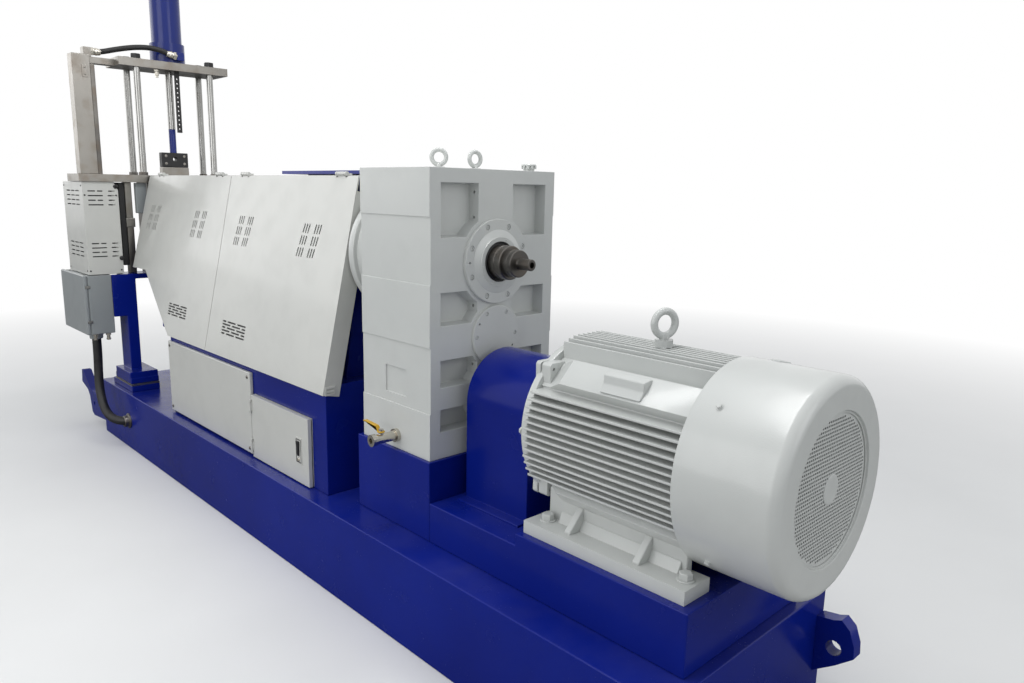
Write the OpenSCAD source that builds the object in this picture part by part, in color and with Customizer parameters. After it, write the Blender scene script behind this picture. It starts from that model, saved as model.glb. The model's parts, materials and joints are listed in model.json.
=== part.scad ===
// Single-screw plastic extruder on a welded base: drive motor, coupling guard, gearbox,
// guarded barrel, support box with a small cabinet, and a slide-plate screen changer.
// Frame: +X runs along the machine towards the motor, -Y is the operator side, +Z is up.
// The origin is on the floor, near the middle of the base.

/* [Base] */
// Length of the welded base box
base_length = 4330; // [4300:5:4500]
// Right end of the base
base_right = 2135; // [2125:5:2160]
// Width of the base box
base_width = 876; // [840:2:940]
// Height of the base box
base_height = 345; // [300:5:400]
// Thickness of a lifting lug
lug_thickness = 50; // [40:5:80]
// How far a lug stands out of the left end
lug_reach_left = 460; // [440:5:480]
// How far a lug stands out of the right end
lug_reach_right = 125; // [115:5:160]
// Diameter of the hole in a lug at the right end
lug_hole_d = 50; // [30:2:60]
// Diameter of the hole in a lug at the left end
lug_left_hole_d = 26; // [16:2:40]

/* [Plinths] */
// Width of the three plinths under gearbox, coupling and motor
plinth_width = 616; // [606:2:680]
// Left end of the gearbox pedestal
pedestal_x = 585; // [575:1:595]
// Length of the gearbox pedestal
pedestal_length = 450; // [440:2:470]
// Height of the gearbox pedestal
pedestal_height = 292; // [250:2:310]
// Length of the plinth under the coupling guard
coupling_plinth_length = 433; // [425:1:450]
// Height of the plinth under the coupling guard
coupling_plinth_height = 145; // [120:5:170]
// Length of the plinth under the motor
motor_plinth_length = 633; // [620:1:650]

/* [Axes] */
// Height of the screw axis over the floor
screw_axis_z = 1324; // [1310:1:1330]
// Height of the motor axis over the floor
motor_axis_z = 844; // [835:1:860]
// Shaft height of the motor over its feet
motor_shaft_height = 315; // [305:1:325]

/* [Gearbox] */
// Length of the gearbox case along the machine
gear_length = 414; // [400:2:430]
// Width of the gearbox case
gear_width = 592; // [580:2:604]
// Gap from the pedestal's left end to the case
gear_inset = 24; // [18:1:30]
// Height of the lowest case section
gear_base_h = 169; // [160:1:176]
// Height of the second case section
gear_low_h = 233; // [226:1:240]
// Height of the middle case section
gear_mid_h = 216; // [210:1:222]
// Height of the fourth case section
gear_up_h = 227; // [220:1:236]
// Height of the top case section
gear_top_h = 163; // [150:1:180]
// How far every second section stands back
section_step = 4; // [2:1:8]
// Depth of the cast pockets on the motor side
pocket_depth = 50; // [20:2:60]
// Radius of the output flange
output_flange_r = 150; // [140:1:160]
// How far the output flange stands out of the case
output_flange_t = 24; // [16:1:32]
// Radius of the middle bearing cover
middle_cover_r = 109; // [100:1:115]
// Radius of the output shaft at its journal
shaft_r = 60; // [50:1:64]
// Radius of the reduced shaft end
shaft_end_r = 48; // [38:1:49]
// Radius of the coolant stub at the shaft's tip
shaft_stub_r = 20; // [14:1:26]
// Length of the coolant stub
shaft_stub_length = 60; // [50:1:80]

/* [Motor] */
// Gap from the coupling plinth's end to the motor shield
shield_gap = 43; // [36:1:50]
// Thickness of the motor's end shield
shield_length = 45; // [35:1:55]
// Radius of the end shield
shield_r = 268; // [260:1:275]
// Length of the finned frame
frame_length = 548; // [530:2:560]
// Radius of the frame under its fins
frame_core_r = 246; // [240:1:254]
// Radius reached by the fin tips
fin_tip_r = 292; // [284:1:294]
// Distance between two fins
fin_pitch = 22; // [20:1:26]
// Thickness of a fin
fin_thickness = 7; // [5:1:9]
// Length of the fan cowl
cowl_length = 290; // [260:5:320]
// Radius of the fan cowl
cowl_r = 297; // [296:1:302]
// Radius of the round grille in the cowl
grille_r = 207; // [190:1:220]

/* [Coupling guard] */
// Left end of the guard, measured from the pedestal's right end
coupling_guard_gap = 42; // [34:1:50]
// Length of the guard
coupling_guard_length = 308; // [290:2:320]
// Outer radius of the arch
coupling_guard_r = 175; // [165:1:185]
// Sheet thickness of the guard
coupling_guard_t = 8; // [4:1:10]

/* [Support box] */
// Left end of the box under the barrel
box_x0 = -1190; // [-1230:2:-1190]
// Right end of the box
box_x1 = 434; // [424:1:438]
// Width of the box
box_width = 716; // [700:2:730]
// Height of the box over the base
box_height = 455; // [430:5:462]
// How far the white panel stands out of the box
panel_proud = 18; // [10:1:19]
// Left end of the white panel
panel_x0 = -1183; // [-1186:1:-1150]
// Right end of the white panel
panel_x1 = -202; // [-230:1:-201]
// Lower edge of the white panel over the base
panel_z0 = 11; // [6:1:20]
// Height of the white panel
panel_height = 385; // [360:5:400]
// Left edge of the cabinet door
door_x0 = -194; // [-195:1:-180]
// Width of the cabinet door
door_width = 516; // [480:2:540]
// Lower edge of the door over the base
door_z0 = 6; // [5:1:10]
// Height of the cabinet door
door_height = 292; // [260:2:310]
// Thickness of the door with its folded edge
door_t = 16; // [12:1:17]
// Depth of the cabinet behind the door
cabinet_depth = 260; // [200:5:320]

/* [Barrel and guard] */
// Radius of the barrel
barrel_r = 105; // [95:1:112]
// Radius of the screw inside
screw_r = 60; // [50:1:62]
// Outer radius of a heater band
heater_r = 140; // [125:1:150]
// Radius of the thrust bearing housing
thrust_r = 258; // [245:1:265]
// Right end of the barrel guard
guard_x1 = 445; // [443:1:455]
// Left end of the barrel guard at its top
guard_x0 = -1804; // [-1806:1:-1780]
// Place of the seam between the two front covers
guard_seam_x = -688; // [-720:1:-650]
// Height of the guard's top edge over the floor
guard_top_z = 1620; // [1612:1:1624]
// Height of the guard's lower edge over the floor
guard_bottom_z = 768; // [764:1:790]
// Distance of the top edge from the centre plane
guard_top_y = 195; // [190:1:205]
// Distance of the lower edge from the centre plane
guard_bottom_y = 377; // [374:1:390]
// Sheet thickness of the covers
cover_t = 6; // [4:1:8]
// Depth of the covers' folded ends
cover_return = 75; // [50:1:90]
// Left end of the lower edge, where the slanted cut begins
cut_x = -1178; // [-1200:2:-1100]
// Height of the slanted cut at the guard's left end
cut_z = 1080; // [1050:5:1100]
// Gap between moving covers and what is beside them
swing_gap = 5; // [5:0.5:6]

/* [Screen changer] */
// Gap between the guard's left end and the head plates
head_gap = 21; // [18:1:30]
// Length of the head plates along the machine
head_length = 230; // [225:1:260]
// Half width of the top plate
head_half_y = 318; // [300:1:330]
// Front end of the lower plate
head_front_y = -573; // [-590:1:-560]
// Underside of the lower plate over the floor
head_low_z = 1577; // [1570:1:1580]
// Thickness of the lower plate
head_low_t = 43; // [34:1:46]
// Underside of the top plate over the floor
head_high_z = 2235; // [2200:5:2260]
// Thickness of the top plate
head_high_t = 45; // [36:1:50]
// Radius of the tie rods
tie_rod_r = 19; // [14:1:22]
// Half distance of the tie rods along the machine
tie_rod_dx = 85; // [80:1:90]
// Half distance of the tie rods across the machine
tie_rod_dy = 214; // [210:1:230]
// Outer radius of the hydraulic cylinder
cylinder_r = 84; // [80:1:92]
// Outer radius of the cylinder's bottom collar
collar_r = 97; // [93:1:104]
// Length of the hydraulic cylinder
cylinder_length = 560; // [500:10:600]
// Radius of the piston rod
piston_rod_r = 21; // [16:1:24]
// Travel of the screen slide, downwards
slide_travel = 250; // [180:10:260]
// Width of the screen slide plate
slide_width = 160; // [140:2:180]
// Thickness of the screen slide plate
slide_t = 50; // [44:1:56]
// Bore of the melt outlet
outlet_bore_d = 80; // [60:2:90]
// Bolt circle diameter of the outlet flange
outlet_pcd = 200; // [180:2:210]

/* [Clearances] */
// Radial clearance of a pin, shaft or rod in its bore
pin_gap = 0.1; // [0.05:0.05:0.1]
// Clearance of the slide plate in its slot
slide_gap = 3; // [2:0.5:4]
// Gap left between curved faces that meet on one body
seat_gap = 0.3; // [0.2:0.1:0.4]

/* [Hidden] */
$fn = 64;

blue = "mediumblue";
paint_white = "gainsboro";
steel = "silver";

base_left = base_right - base_length;
front_y = -base_width / 2;
plinth_y = plinth_width / 2;
pedestal_x1 = pedestal_x + pedestal_length;
pedestal_z1 = base_height + pedestal_height;
coupling_plinth_x1 = pedestal_x1 + coupling_plinth_length;
coupling_plinth_z1 = base_height + coupling_plinth_height;
motor_feet_z = motor_axis_z - motor_shaft_height;

gear_x0 = pedestal_x + gear_inset;
gear_x1 = gear_x0 + gear_length;
gear_y = gear_width / 2;
section_heights = [gear_base_h, gear_low_h, gear_mid_h, gear_up_h, gear_top_h];
function stack(i) = i == 0 ? pedestal_z1 : stack(i - 1) + section_heights[i - 1];
gear_z1 = stack(5);
shaft_front_x = gear_x1 + output_flange_t;
shaft_journal_length = 60;
shaft_end_length = 42;
shaft_end_x = shaft_front_x + shaft_journal_length;
shaft_stub_x = shaft_end_x + shaft_end_length;
shaft_inner_x = gear_x1 - 150;

shield_x0 = coupling_plinth_x1 - shield_gap;
frame_x0 = shield_x0 + shield_length;
frame_x1 = frame_x0 + frame_length;
cowl_x1 = frame_x1 + cowl_length;

box_y = box_width / 2;
box_z1 = base_height + box_height;
door_x1 = door_x0 + door_width;
door_zb = base_height + door_z0;
door_zt = door_zb + door_height;
door_y1 = -box_y - swing_gap;
door_y0 = door_y1 - door_t;
door_hinge_r = 6;
door_hinge_x = door_x0 + door_hinge_r;
door_hinge_y = door_y0 - door_hinge_r;
door_pin_r = 3;
door_knuckle = 40;

thrust_x0 = box_x1 + 1;
barrel_x1 = thrust_x0 + 20;
head_face_x = guard_x0 - head_gap;
head_x0 = head_face_x - head_length;
head_mid_x = head_face_x - head_length / 2;
head_block_half = 95;
head_block_x0 = head_mid_x - head_block_half;
head_block_x1 = head_mid_x + head_block_half;
head_block_y = 200;
head_block_z0 = 1100;
head_low_z1 = head_low_z + head_low_t;
head_high_z1 = head_high_z + head_high_t;

cover_drop = guard_top_z - guard_bottom_z;
cover_out = guard_bottom_y - guard_top_y;
cover_tilt = atan(cover_out / cover_drop);
cover_length = sqrt(cover_drop * cover_drop + cover_out * cover_out);
cut_s = (guard_top_z - cut_z) / cos(cover_tilt);
crease_x0 = -1375;
crease_x1 = -1652;
crease_s = 73;
facet_flare = 15;
guard_hinge_z = guard_top_z + 6;
guard_hinge_r = 9;
guard_pin_r = 4;
guard_knuckle = 50;
left_hinges = [-1640, -850];
right_hinges = [-560, 300];

post_gap = 10;
post_length = 150;
post_x1 = head_face_x - post_gap;
post_x0 = post_x1 - post_length;
post_y0 = 308;
post_y1 = 368;
post_z1 = 1040;

// A box between two corners
module block(x0, x1, y0, y1, z0, z1) {
  translate([x0, y0, z0]) cube([x1 - x0, y1 - y0, z1 - z0]);
}

// The same box on both sides of the centre plane
module block_pair(x0, x1, y0, y1, z0, z1) {
  block(x0, x1, y0, y1, z0, z1);
  block(x0, x1, -y1, -y0, z0, z1);
}

// A round bar along X, Y or Z
module bar_x(x0, x1, y, z, r) {
  translate([x0, y, z]) rotate([0, 90, 0]) cylinder(r = r, h = x1 - x0);
}
module bar_y(x, y0, y1, z, r) {
  translate([x, y1, z]) rotate([90, 0, 0]) cylinder(r = r, h = y1 - y0);
}
module bar_z(x, y, z0, z1, r) {
  translate([x, y, z0]) cylinder(r = r, h = z1 - z0);
}

// A flat outline in Y and Z, extruded along X
module along_x(x0, x1) {
  translate([x0, 0, 0]) rotate([90, 0, 90]) linear_extrude(x1 - x0) children();
}
// A flat outline in X and Z, extruded along Y
module along_y(y0, y1) {
  translate([0, y1, 0]) rotate([90, 0, 0]) linear_extrude(y1 - y0) children();
}

// An eyebolt that stands on a face at height z, its ring across X
module eyebolt(x, y, z, ring_r, wire_r, collar_r, collar_h, turn) {
  bar_z(x, y, z, z + collar_h, collar_r);
  bar_z(x, y, z + collar_h, z + collar_h + wire_r * 1.5, wire_r * 1.3);
  translate([x, y, z + collar_h + ring_r + wire_r / 2])
    rotate([0, 90, turn]) rotate_extrude() translate([ring_r - wire_r / 2, 0]) circle(r = wire_r, $fn = 24);
}

// Welded base
module base_frame() {
  color(blue) block(base_left, base_right, front_y, -front_y, 0, base_height);
}

// Outlines of the lugs, as shares of their reach and heights over the floor
lug_right_outline = [[0, 79], [0.55, 128], [1, 176], [0.98, 215], [0.84, 264], [0.62, 288], [0.42, 278],
                     [0, 270]];
lug_left_outline = [[0, 70], [0.515, 50], [0.6, 66], [0.665, 172], [0.745, 207], [1, 240], [0.97, 326],
                    [0.89, 326], [0.62, 226], [0.475, 205], [0, 203]];
lug_right_hole = [60, 185];
lug_left_hole = [215, 135];

// One lug beyond the base's right end, or its mirror beyond the left end
module lug(outline, reach, side, hole, hole_d) {
  difference() {
    along_y(-lug_thickness, 0)
      polygon([for (p = outline) [side * p[0] * reach, p[1]]]);
    bar_y(side * hole[0], -lug_thickness - 1, 1, hole[1], hole_d / 2);
  }
}
module lifting_lugs() {
  color(blue) {
    for (y = [front_y + lug_thickness, -front_y]) {
      translate([base_left, y, 0])
        lug(lug_left_outline, lug_reach_left, -1, lug_left_hole, lug_left_hole_d);
      translate([base_right, y, 0])
        lug(lug_right_outline, lug_reach_right, 1, lug_right_hole, lug_hole_d);
    }
  }
}

// Plinths
module gearbox_pedestal() {
  color(blue) block(pedestal_x, pedestal_x1, -plinth_y, plinth_y, base_height, pedestal_z1);
}
module drive_plinth() {
  color(blue) {
    block(pedestal_x1, coupling_plinth_x1, -plinth_y, plinth_y, base_height, coupling_plinth_z1);
    block(coupling_plinth_x1, coupling_plinth_x1 + motor_plinth_length,
          -plinth_y, plinth_y, base_height, motor_feet_z);
  }
}

// Support box with the pocket for the cabinet, a beam towards the head, and the cradles
beam_x0 = -1660;
beam_y = 230;
beam_z0 = 735;
cradle_xs = [-1549, -440, 330];
cradle_t = 20;
cradle_foot_y = 210;
module cradle(x) {
  difference() {
    along_x(x, x + cradle_t)
      polygon([[-cradle_foot_y, box_z1 - 1], [cradle_foot_y, box_z1 - 1],
               [barrel_r + 30, screw_axis_z], [-barrel_r - 30, screw_axis_z]]);
    bar_x(x - 1, x + cradle_t + 1, 0, screw_axis_z, barrel_r + seat_gap);
  }
}
module support_box() {
  color(blue) {
    difference() {
      block(box_x0, box_x1, -box_y, box_y, base_height, box_z1);
      block(door_x0, door_x1, -box_y - 1, -box_y + cabinet_depth, door_zb, door_zt);
    }
    block(beam_x0, box_x0, -beam_y, beam_y, beam_z0, box_z1);
    for (x = cradle_xs) cradle(x);
  }
}
module side_panels() {
  color(paint_white) block_pair(panel_x0, panel_x1, box_y, box_y + panel_proud,
                                base_height + panel_z0, base_height + panel_z0 + panel_height);
}

// Cabinet: an open case in the pocket, with the fixed halves of the door's hinges
cabinet_wall = 4;
hinge_zs = [door_zb + 34, door_zt - 74];
module control_cabinet() {
  color(paint_white) {
    difference() {
      block(door_x0, door_x1, -box_y, -box_y + cabinet_depth, door_zb, door_zt);
      block(door_x0 + cabinet_wall, door_x1 - cabinet_wall, -box_y - 1,
            -box_y + cabinet_depth - cabinet_wall, door_zb + cabinet_wall, door_zt - cabinet_wall);
    }
    for (z = hinge_zs) {
      bar_z(door_hinge_x, door_hinge_y, z - 12, z + door_knuckle + 12, door_pin_r);
      for (e = [z - 12, z + door_knuckle + 2]) {
        bar_z(door_hinge_x, door_hinge_y, e, e + 10, door_hinge_r);
        block(door_x0, door_x0 + cabinet_wall, door_hinge_y, -box_y + 1, e, e + 10);
      }
    }
  }
}

// Door with its half of the hinges and the pocket of the handle
handle_w = 38;
handle_h = 100;
handle_x0 = door_x1 - 59 - handle_w;
handle_z0 = door_zt - 102 - handle_h;
handle_pocket = 10;
module cabinet_door() {
  color(paint_white) {
    difference() {
      block(door_x0 + cabinet_wall + 2, door_x1, door_y0, door_y1, door_zb, door_zt);
      block(handle_x0, handle_x0 + handle_w, door_y0 - 1, door_y0 + handle_pocket,
            handle_z0, handle_z0 + handle_h);
      for (z = hinge_zs)
        bar_z(door_hinge_x, door_hinge_y, z - 14, z + door_knuckle + 14, door_hinge_r + 2);
    }
    for (z = hinge_zs) {
      difference() {
        union() {
          bar_z(door_hinge_x, door_hinge_y, z, z + door_knuckle, door_hinge_r);
          block(door_hinge_x, door_hinge_x + door_hinge_r + 6, door_y0 - 2, door_y0 + 4,
                z, z + door_knuckle);
        }
        bar_z(door_hinge_x, door_hinge_y, z - 1, z + door_knuckle + 1, door_pin_r + pin_gap);
      }
    }
  }
}
module door_handle() {
  color("black") {
    block(handle_x0, handle_x0 + handle_w, door_y0 + handle_pocket - 3, door_y0 + handle_pocket,
          handle_z0, handle_z0 + handle_h);
    block(handle_x0 + 12, handle_x0 + handle_w - 12, door_y0 - 2, door_y0 + handle_pocket,
          handle_z0 + 10, handle_z0 + handle_h - 10);
  }
}

middle_cover_z = 1057;
middle_cover_t = 12;
input_shaft_r = 42;
input_cover_r = 100;
input_cover_t = 26;

// One section of the gearbox case, with its cast pockets and its share of the shaft bosses
pocket_border = 46;
pocket_zs = [[732, 816], [892, 992], [1110, 1228], [1412, 1598]];
band_half = 80;
bearing_bosses = [[screw_axis_z, output_flange_r + 12], [middle_cover_z, middle_cover_r + 12],
                  [motor_axis_z, input_cover_r + 12]];
module gearbox_section(i) {
  s = (i % 2 == 1) ? section_step : 0;
  z0 = stack(i);
  z1 = stack(i + 1);
  difference() {
    intersection() {
      union() {
        difference() {
          block(gear_x0, gear_x1, -gear_y + s, gear_y - s, pedestal_z1, gear_z1);
          for (p = pocket_zs) for (side = [-1, 1])
            block(gear_x1 - pocket_depth, gear_x1 + 1,
                  side > 0 ? band_half : -gear_y + pocket_border,
                  side > 0 ? gear_y - pocket_border : -band_half, p[0], p[1]);
        }
        for (b = bearing_bosses) bar_x(gear_x1 - pocket_depth - 10, gear_x1, 0, b[0], b[1]);
      }
      block(gear_x0 - 1, gear_x1 + 1, -gear_y, gear_y, z0, z1);
    }
    bar_x(shaft_inner_x - 10, gear_x1 + 1, 0, screw_axis_z, shaft_r + 12);
  }
}
module gearbox_base_section() { color(paint_white) gearbox_section(0); }
module gearbox_low_section() { color(paint_white) gearbox_section(1); }
module gearbox_middle_section() { color(paint_white) gearbox_section(2); }
module gearbox_upper_section() { color(paint_white) gearbox_section(3); }
module gearbox_top_section() { color(paint_white) gearbox_section(4); }

// Bearing covers on the motor side
flange_rim = 14;
module bearing_covers() {
  color(paint_white) {
    difference() {
      union() {
        bar_x(gear_x1, gear_x1 + flange_rim, 0, screw_axis_z, output_flange_r);
        translate([gear_x1 + flange_rim, 0, screw_axis_z]) rotate([0, 90, 0])
          cylinder(r1 = output_flange_r - 42, r2 = shaft_r + 18, h = output_flange_t - flange_rim);
      }
      bar_x(gear_x1 - 1, shaft_front_x + 1, 0, screw_axis_z, shaft_r + pin_gap);
    }
    bar_x(gear_x1, gear_x1 + middle_cover_t, 0, middle_cover_z, middle_cover_r);
    difference() {
      bar_x(gear_x1, gear_x1 + input_cover_t, 0, motor_axis_z, input_cover_r);
      bar_x(gear_x1 - 1, gear_x1 + input_cover_t + 1, 0, motor_axis_z, input_shaft_r + seat_gap);
    }
  }
}

// Output shaft with its stepped end
module output_shaft() {
  color("dimgray") {
    bar_x(shaft_inner_x, shaft_end_x, 0, screw_axis_z, shaft_r);
    bar_x(shaft_end_x, shaft_stub_x, 0, screw_axis_z, shaft_end_r);
    bar_x(shaft_stub_x, shaft_stub_x + shaft_stub_length, 0, screw_axis_z, shaft_stub_r);
  }
}

// Eyebolts on the gearbox and on the motor
eye_x = 816;
eye_ys = [-94, 78];
motor_eye_x = 1765;
module eyebolts() {
  color(paint_white) {
    eyebolt(eye_x, eye_ys[0], gear_z1, 30, 8, 22, 8, -38);
    eyebolt(eye_x, eye_ys[1], gear_z1, 30, 8, 22, 8, -4);
    eyebolt(motor_eye_x, 0, motor_axis_z + flat_y, 42, 11, 27, 22, -20);
  }
}

// Drain valve on the operator side, and its quarter-turn lever
valve_x = 828;
valve_rise = 51;
valve_z = pedestal_z1 + valve_rise;
valve_y0 = -409;
valve_r = 18;
valve_nut_r = 22;
valve_bore_r = 10;
valve_stem_y = -365;
valve_stem_r = 5;
lever_z = valve_z + valve_r + 6;
lever_rise = 16;
lever_length = 103;
lever_t = 4;
lever_w = 16;
module drain_valve() {
  color(steel) difference() {
    union() {
      bar_y(valve_x, valve_y0, -gear_y, valve_z, valve_r);
      bar_y(valve_x, valve_y0, valve_y0 + 18, valve_z, valve_nut_r);
      bar_y(valve_x, -gear_y - 14, -gear_y, valve_z, valve_nut_r + 3);
      bar_z(valve_x, valve_stem_y, valve_z, lever_z, valve_stem_r + 5);
      bar_z(valve_x, valve_stem_y, lever_z, lever_z + lever_t + 8, valve_stem_r);
      bar_z(valve_x, valve_stem_y, lever_z + lever_t + 1, lever_z + lever_t + 8, valve_stem_r + 4);
    }
    bar_y(valve_x, valve_y0 - 1, valve_y0 + 30, valve_z, valve_bore_r);
  }
}
// Lever: a flat hub on the stem, a rise, and a flat grip
module drain_lever() {
  color("gold") translate([valve_x, valve_stem_y, lever_z + 0.3]) difference() {
    union() {
      bar_z(0, 0, 0, lever_t, 14);
      along_y(-lever_w / 2, lever_w / 2)
        polygon([[0, 0], [0, lever_t], [-16, lever_t], [-26, lever_rise + lever_t],
                 [-lever_length, lever_rise + lever_t + 4], [-lever_length, lever_rise + 4],
                 [-24, lever_rise], [-14, 0]]);
    }
    bar_z(0, 0, -1, lever_t + 1, valve_stem_r + pin_gap);
  }
}

// Thrust bearing housing between the gearbox and the barrel
module thrust_housing() {
  color(paint_white) {
    bar_x(thrust_x0 + 60, gear_x0, 0, screw_axis_z, thrust_r - 20);
    bar_x(thrust_x0 + 20, thrust_x0 + 60, 0, screw_axis_z, thrust_r);
  }
}

// Barrel with the bore for the screw, cut off short of the thrust housing
module barrel() {
  color(steel) difference() {
    bar_x(head_block_x1, barrel_x1, 0, screw_axis_z, barrel_r);
    block(throat_x0, throat_x1, -throat_y, throat_y, screw_axis_z, screw_axis_z + barrel_r + 1);
  }
}
band_length = 150;
band_pitch = 172;
band_x0 = -1700;
module heater_bands() {
  color("lightgray") for (i = [0 : 6]) difference() {
    bar_x(band_x0 + i * band_pitch, band_x0 + i * band_pitch + band_length, 0, screw_axis_z, heater_r);
    bar_x(band_x0 + i * band_pitch - 1, band_x0 + i * band_pitch + band_length + 1, 0,
          screw_axis_z, barrel_r + seat_gap);
  }
}

// Feed throat: a square duct from the barrel up through the guard, with its flange
throat_x0 = -150;
throat_x1 = 90;
throat_y = 60;
throat_wall = 12;
feed_flange_z = 1627;
feed_flange_t = 14;
feed_flange_x0 = -282;
feed_flange_x1 = 400;
feed_flange_y = 138;
throat_mid_x = (throat_x0 + throat_x1) / 2;
hopper_bolt_dx = 180;
hopper_bolt_dy = 110;
hopper_bolt_r = 7;
throat_seat_z = screw_axis_z + sqrt(barrel_r * barrel_r - (throat_y + throat_wall) * (throat_y + throat_wall));
module feed_throat() {
  color(blue) difference() {
    union() {
      block(throat_x0 - throat_wall, throat_x1 + throat_wall, -throat_y - throat_wall,
            throat_y + throat_wall, throat_seat_z, feed_flange_z);
      block(feed_flange_x0, feed_flange_x1, -feed_flange_y, feed_flange_y,
            feed_flange_z, feed_flange_z + feed_flange_t);
    }
    block(throat_x0, throat_x1, -throat_y, throat_y, screw_axis_z, feed_flange_z + feed_flange_t + 1);
    bar_x(throat_x0 - throat_wall - 1, throat_x1 + throat_wall + 1, 0, screw_axis_z,
          barrel_r + seat_gap);
    for (dx = [-hopper_bolt_dx, hopper_bolt_dx]) for (y = [-hopper_bolt_dy, hopper_bolt_dy])
      bar_z(throat_mid_x + dx, y, feed_flange_z - 1, feed_flange_z + feed_flange_t + 1,
            hopper_bolt_r);
  }
}

// Fixed top of the guard on its frames, with the ears and pins of the cover hinges
top_t = 8;
top_y = guard_top_y - cover_t - swing_gap;
top_rear_y = guard_top_y - cover_t / cos(cover_tilt) - seat_gap;
frame_inset = 40;
frame_leg = 40;
frame_t = 24;
frame_xs = [box_x0 + 6, -700, box_x1 - frame_t - 4];
rail_y = 150;
rail_w = 30;
function inside_y(z, inset) = guard_top_y + (guard_top_z - z) * tan(cover_tilt) - inset;
module portal(inset, z0, z1) {
  polygon([[-inside_y(z0, inset), z0], [inside_y(z0, inset), z0],
           [inside_y(z1, inset), z1], [-inside_y(z1, inset), z1]]);
}
module guard_frame() {
  color(blue) {
    for (x = frame_xs) along_x(x, x + frame_t) difference() {
      portal(frame_inset, box_z1, guard_top_z - top_t);
      portal(frame_inset + frame_leg, box_z1 - 1, guard_top_z - top_t - 30);
    }
    block_pair(guard_x0 + 10, box_x1 - 4, rail_y - rail_w, rail_y,
               guard_top_z - top_t - 30, guard_top_z - top_t);
  }
}
module guard_hinge_ears(x) {
  translate([x, -guard_top_y, guard_hinge_z]) {
    rotate([0, 90, 0]) translate([0, 0, -14]) cylinder(r = guard_pin_r, h = guard_knuckle + 28);
    for (e = [-14, guard_knuckle + 4]) {
      rotate([0, 90, 0]) translate([0, 0, e]) cylinder(r = guard_hinge_r, h = 10);
      translate([e, 0, guard_top_z - guard_hinge_z]) cube([10, guard_top_y - top_y + 12, top_t]);
    }
  }
}
module guard_top() {
  color(paint_white) {
    difference() {
      block(guard_x0, guard_x1, -top_y, top_rear_y, guard_top_z - top_t, guard_top_z);
      block(throat_x0 - throat_wall - 1, throat_x1 + throat_wall + 1, -throat_y - throat_wall - 1,
            throat_y + throat_wall + 1, guard_top_z - top_t - 1, guard_top_z + 1);
    }
    for (x = concat(left_hinges, right_hinges)) guard_hinge_ears(x);
  }
}

// Frame of a cover: X along the top edge, -Z down the slope, +Y into the guard
module on_slope() {
  translate([0, -guard_top_y, guard_top_z]) rotate([-cover_tilt, 0, 0]) children();
}
module slope_plate(points) {
  on_slope() along_y(0, cover_t) polygon([for (p = points) [p[0], -p[1]]]);
}

// Knuckles of a cover, with the tabs that join them to the sheet
module cover_knuckles(xs) {
  for (x = xs) {
    bar_x(x, x + guard_knuckle, -guard_top_y, guard_hinge_z, guard_hinge_r);
    on_slope() block(x, x + guard_knuckle, 0, cover_t, -12, guard_hinge_z - guard_top_z);
  }
}
module cover_pin_bores(xs) {
  for (x = xs) translate([x - 1, -guard_top_y, guard_hinge_z]) rotate([0, 90, 0])
    cylinder(r = guard_pin_r + pin_gap, h = guard_knuckle + 2);
}
// Notches in the top edge, where the fixed ears stand
module ear_notches(xs) {
  for (x = xs) for (e = [-14, guard_knuckle + 4])
    translate([x + e - 3, -guard_top_y - guard_hinge_r - 4, guard_hinge_z - guard_hinge_r - 5])
      cube([16, 2 * guard_hinge_r + 16, 2 * guard_hinge_r + 10]);
}

cover_top_s = 2;
module guard_cover_left() {
  color(paint_white) difference() {
    union() {
      slope_plate([[guard_seam_x - swing_gap / 2, cover_top_s], [guard_x0, cover_top_s],
                   [crease_x0, crease_s], [crease_x1, cut_s], [cut_x, cover_length],
                   [guard_seam_x - swing_gap / 2, cover_length]]);
      flared_sheet(facet_corners[0], facet_corners[1], facet_corners[3]);
      flared_sheet(facet_corners[1], facet_corners[2], facet_corners[3]);
      cover_knuckles(left_hinges);
    }
    cover_pin_bores(left_hinges);
    ear_notches(left_hinges);
  }
}
// Corners of the flared left part of the cover: place along X, depth, and distance down the slope
facet_corners = [[guard_x0, 0, cover_top_s], [crease_x0, 0, crease_s], [crease_x1, 0, cut_s],
                 [guard_x0 - 10, -facet_flare, cut_s]];
// A sheet between three of these corners
module flared_sheet(a, b, c) {
  t = 0.01;
  on_slope() hull() for (p = [a, b, c]) translate([p[0], p[1], -p[2]]) cube([t, cover_t, t]);
}
module guard_cover_right() {
  color(paint_white) difference() {
    union() {
      on_slope() block(guard_seam_x + swing_gap / 2, guard_x1, 0, cover_t,
                       -cover_length, -cover_top_s);
      on_slope() block(guard_x1 - cover_t, guard_x1, cover_t / 2, cover_return,
                       1 - cover_length, -60);
      cover_knuckles(right_hinges);
    }
    cover_pin_bores(right_hinges);
    ear_notches(right_hinges);
  }
}
// Back of the guard: the same slope, closed by fixed covers
module guard_back_covers() {
  color(paint_white) mirror([0, 1, 0]) {
    slope_plate([[guard_x1, cover_top_s], [guard_x0, cover_top_s], [guard_x0, cut_s],
                 [cut_x, cover_length], [guard_x1, cover_length]]);
    on_slope() block(guard_x1 - cover_t, guard_x1, 0, cover_return, -cover_length, -20);
  }
}

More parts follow.
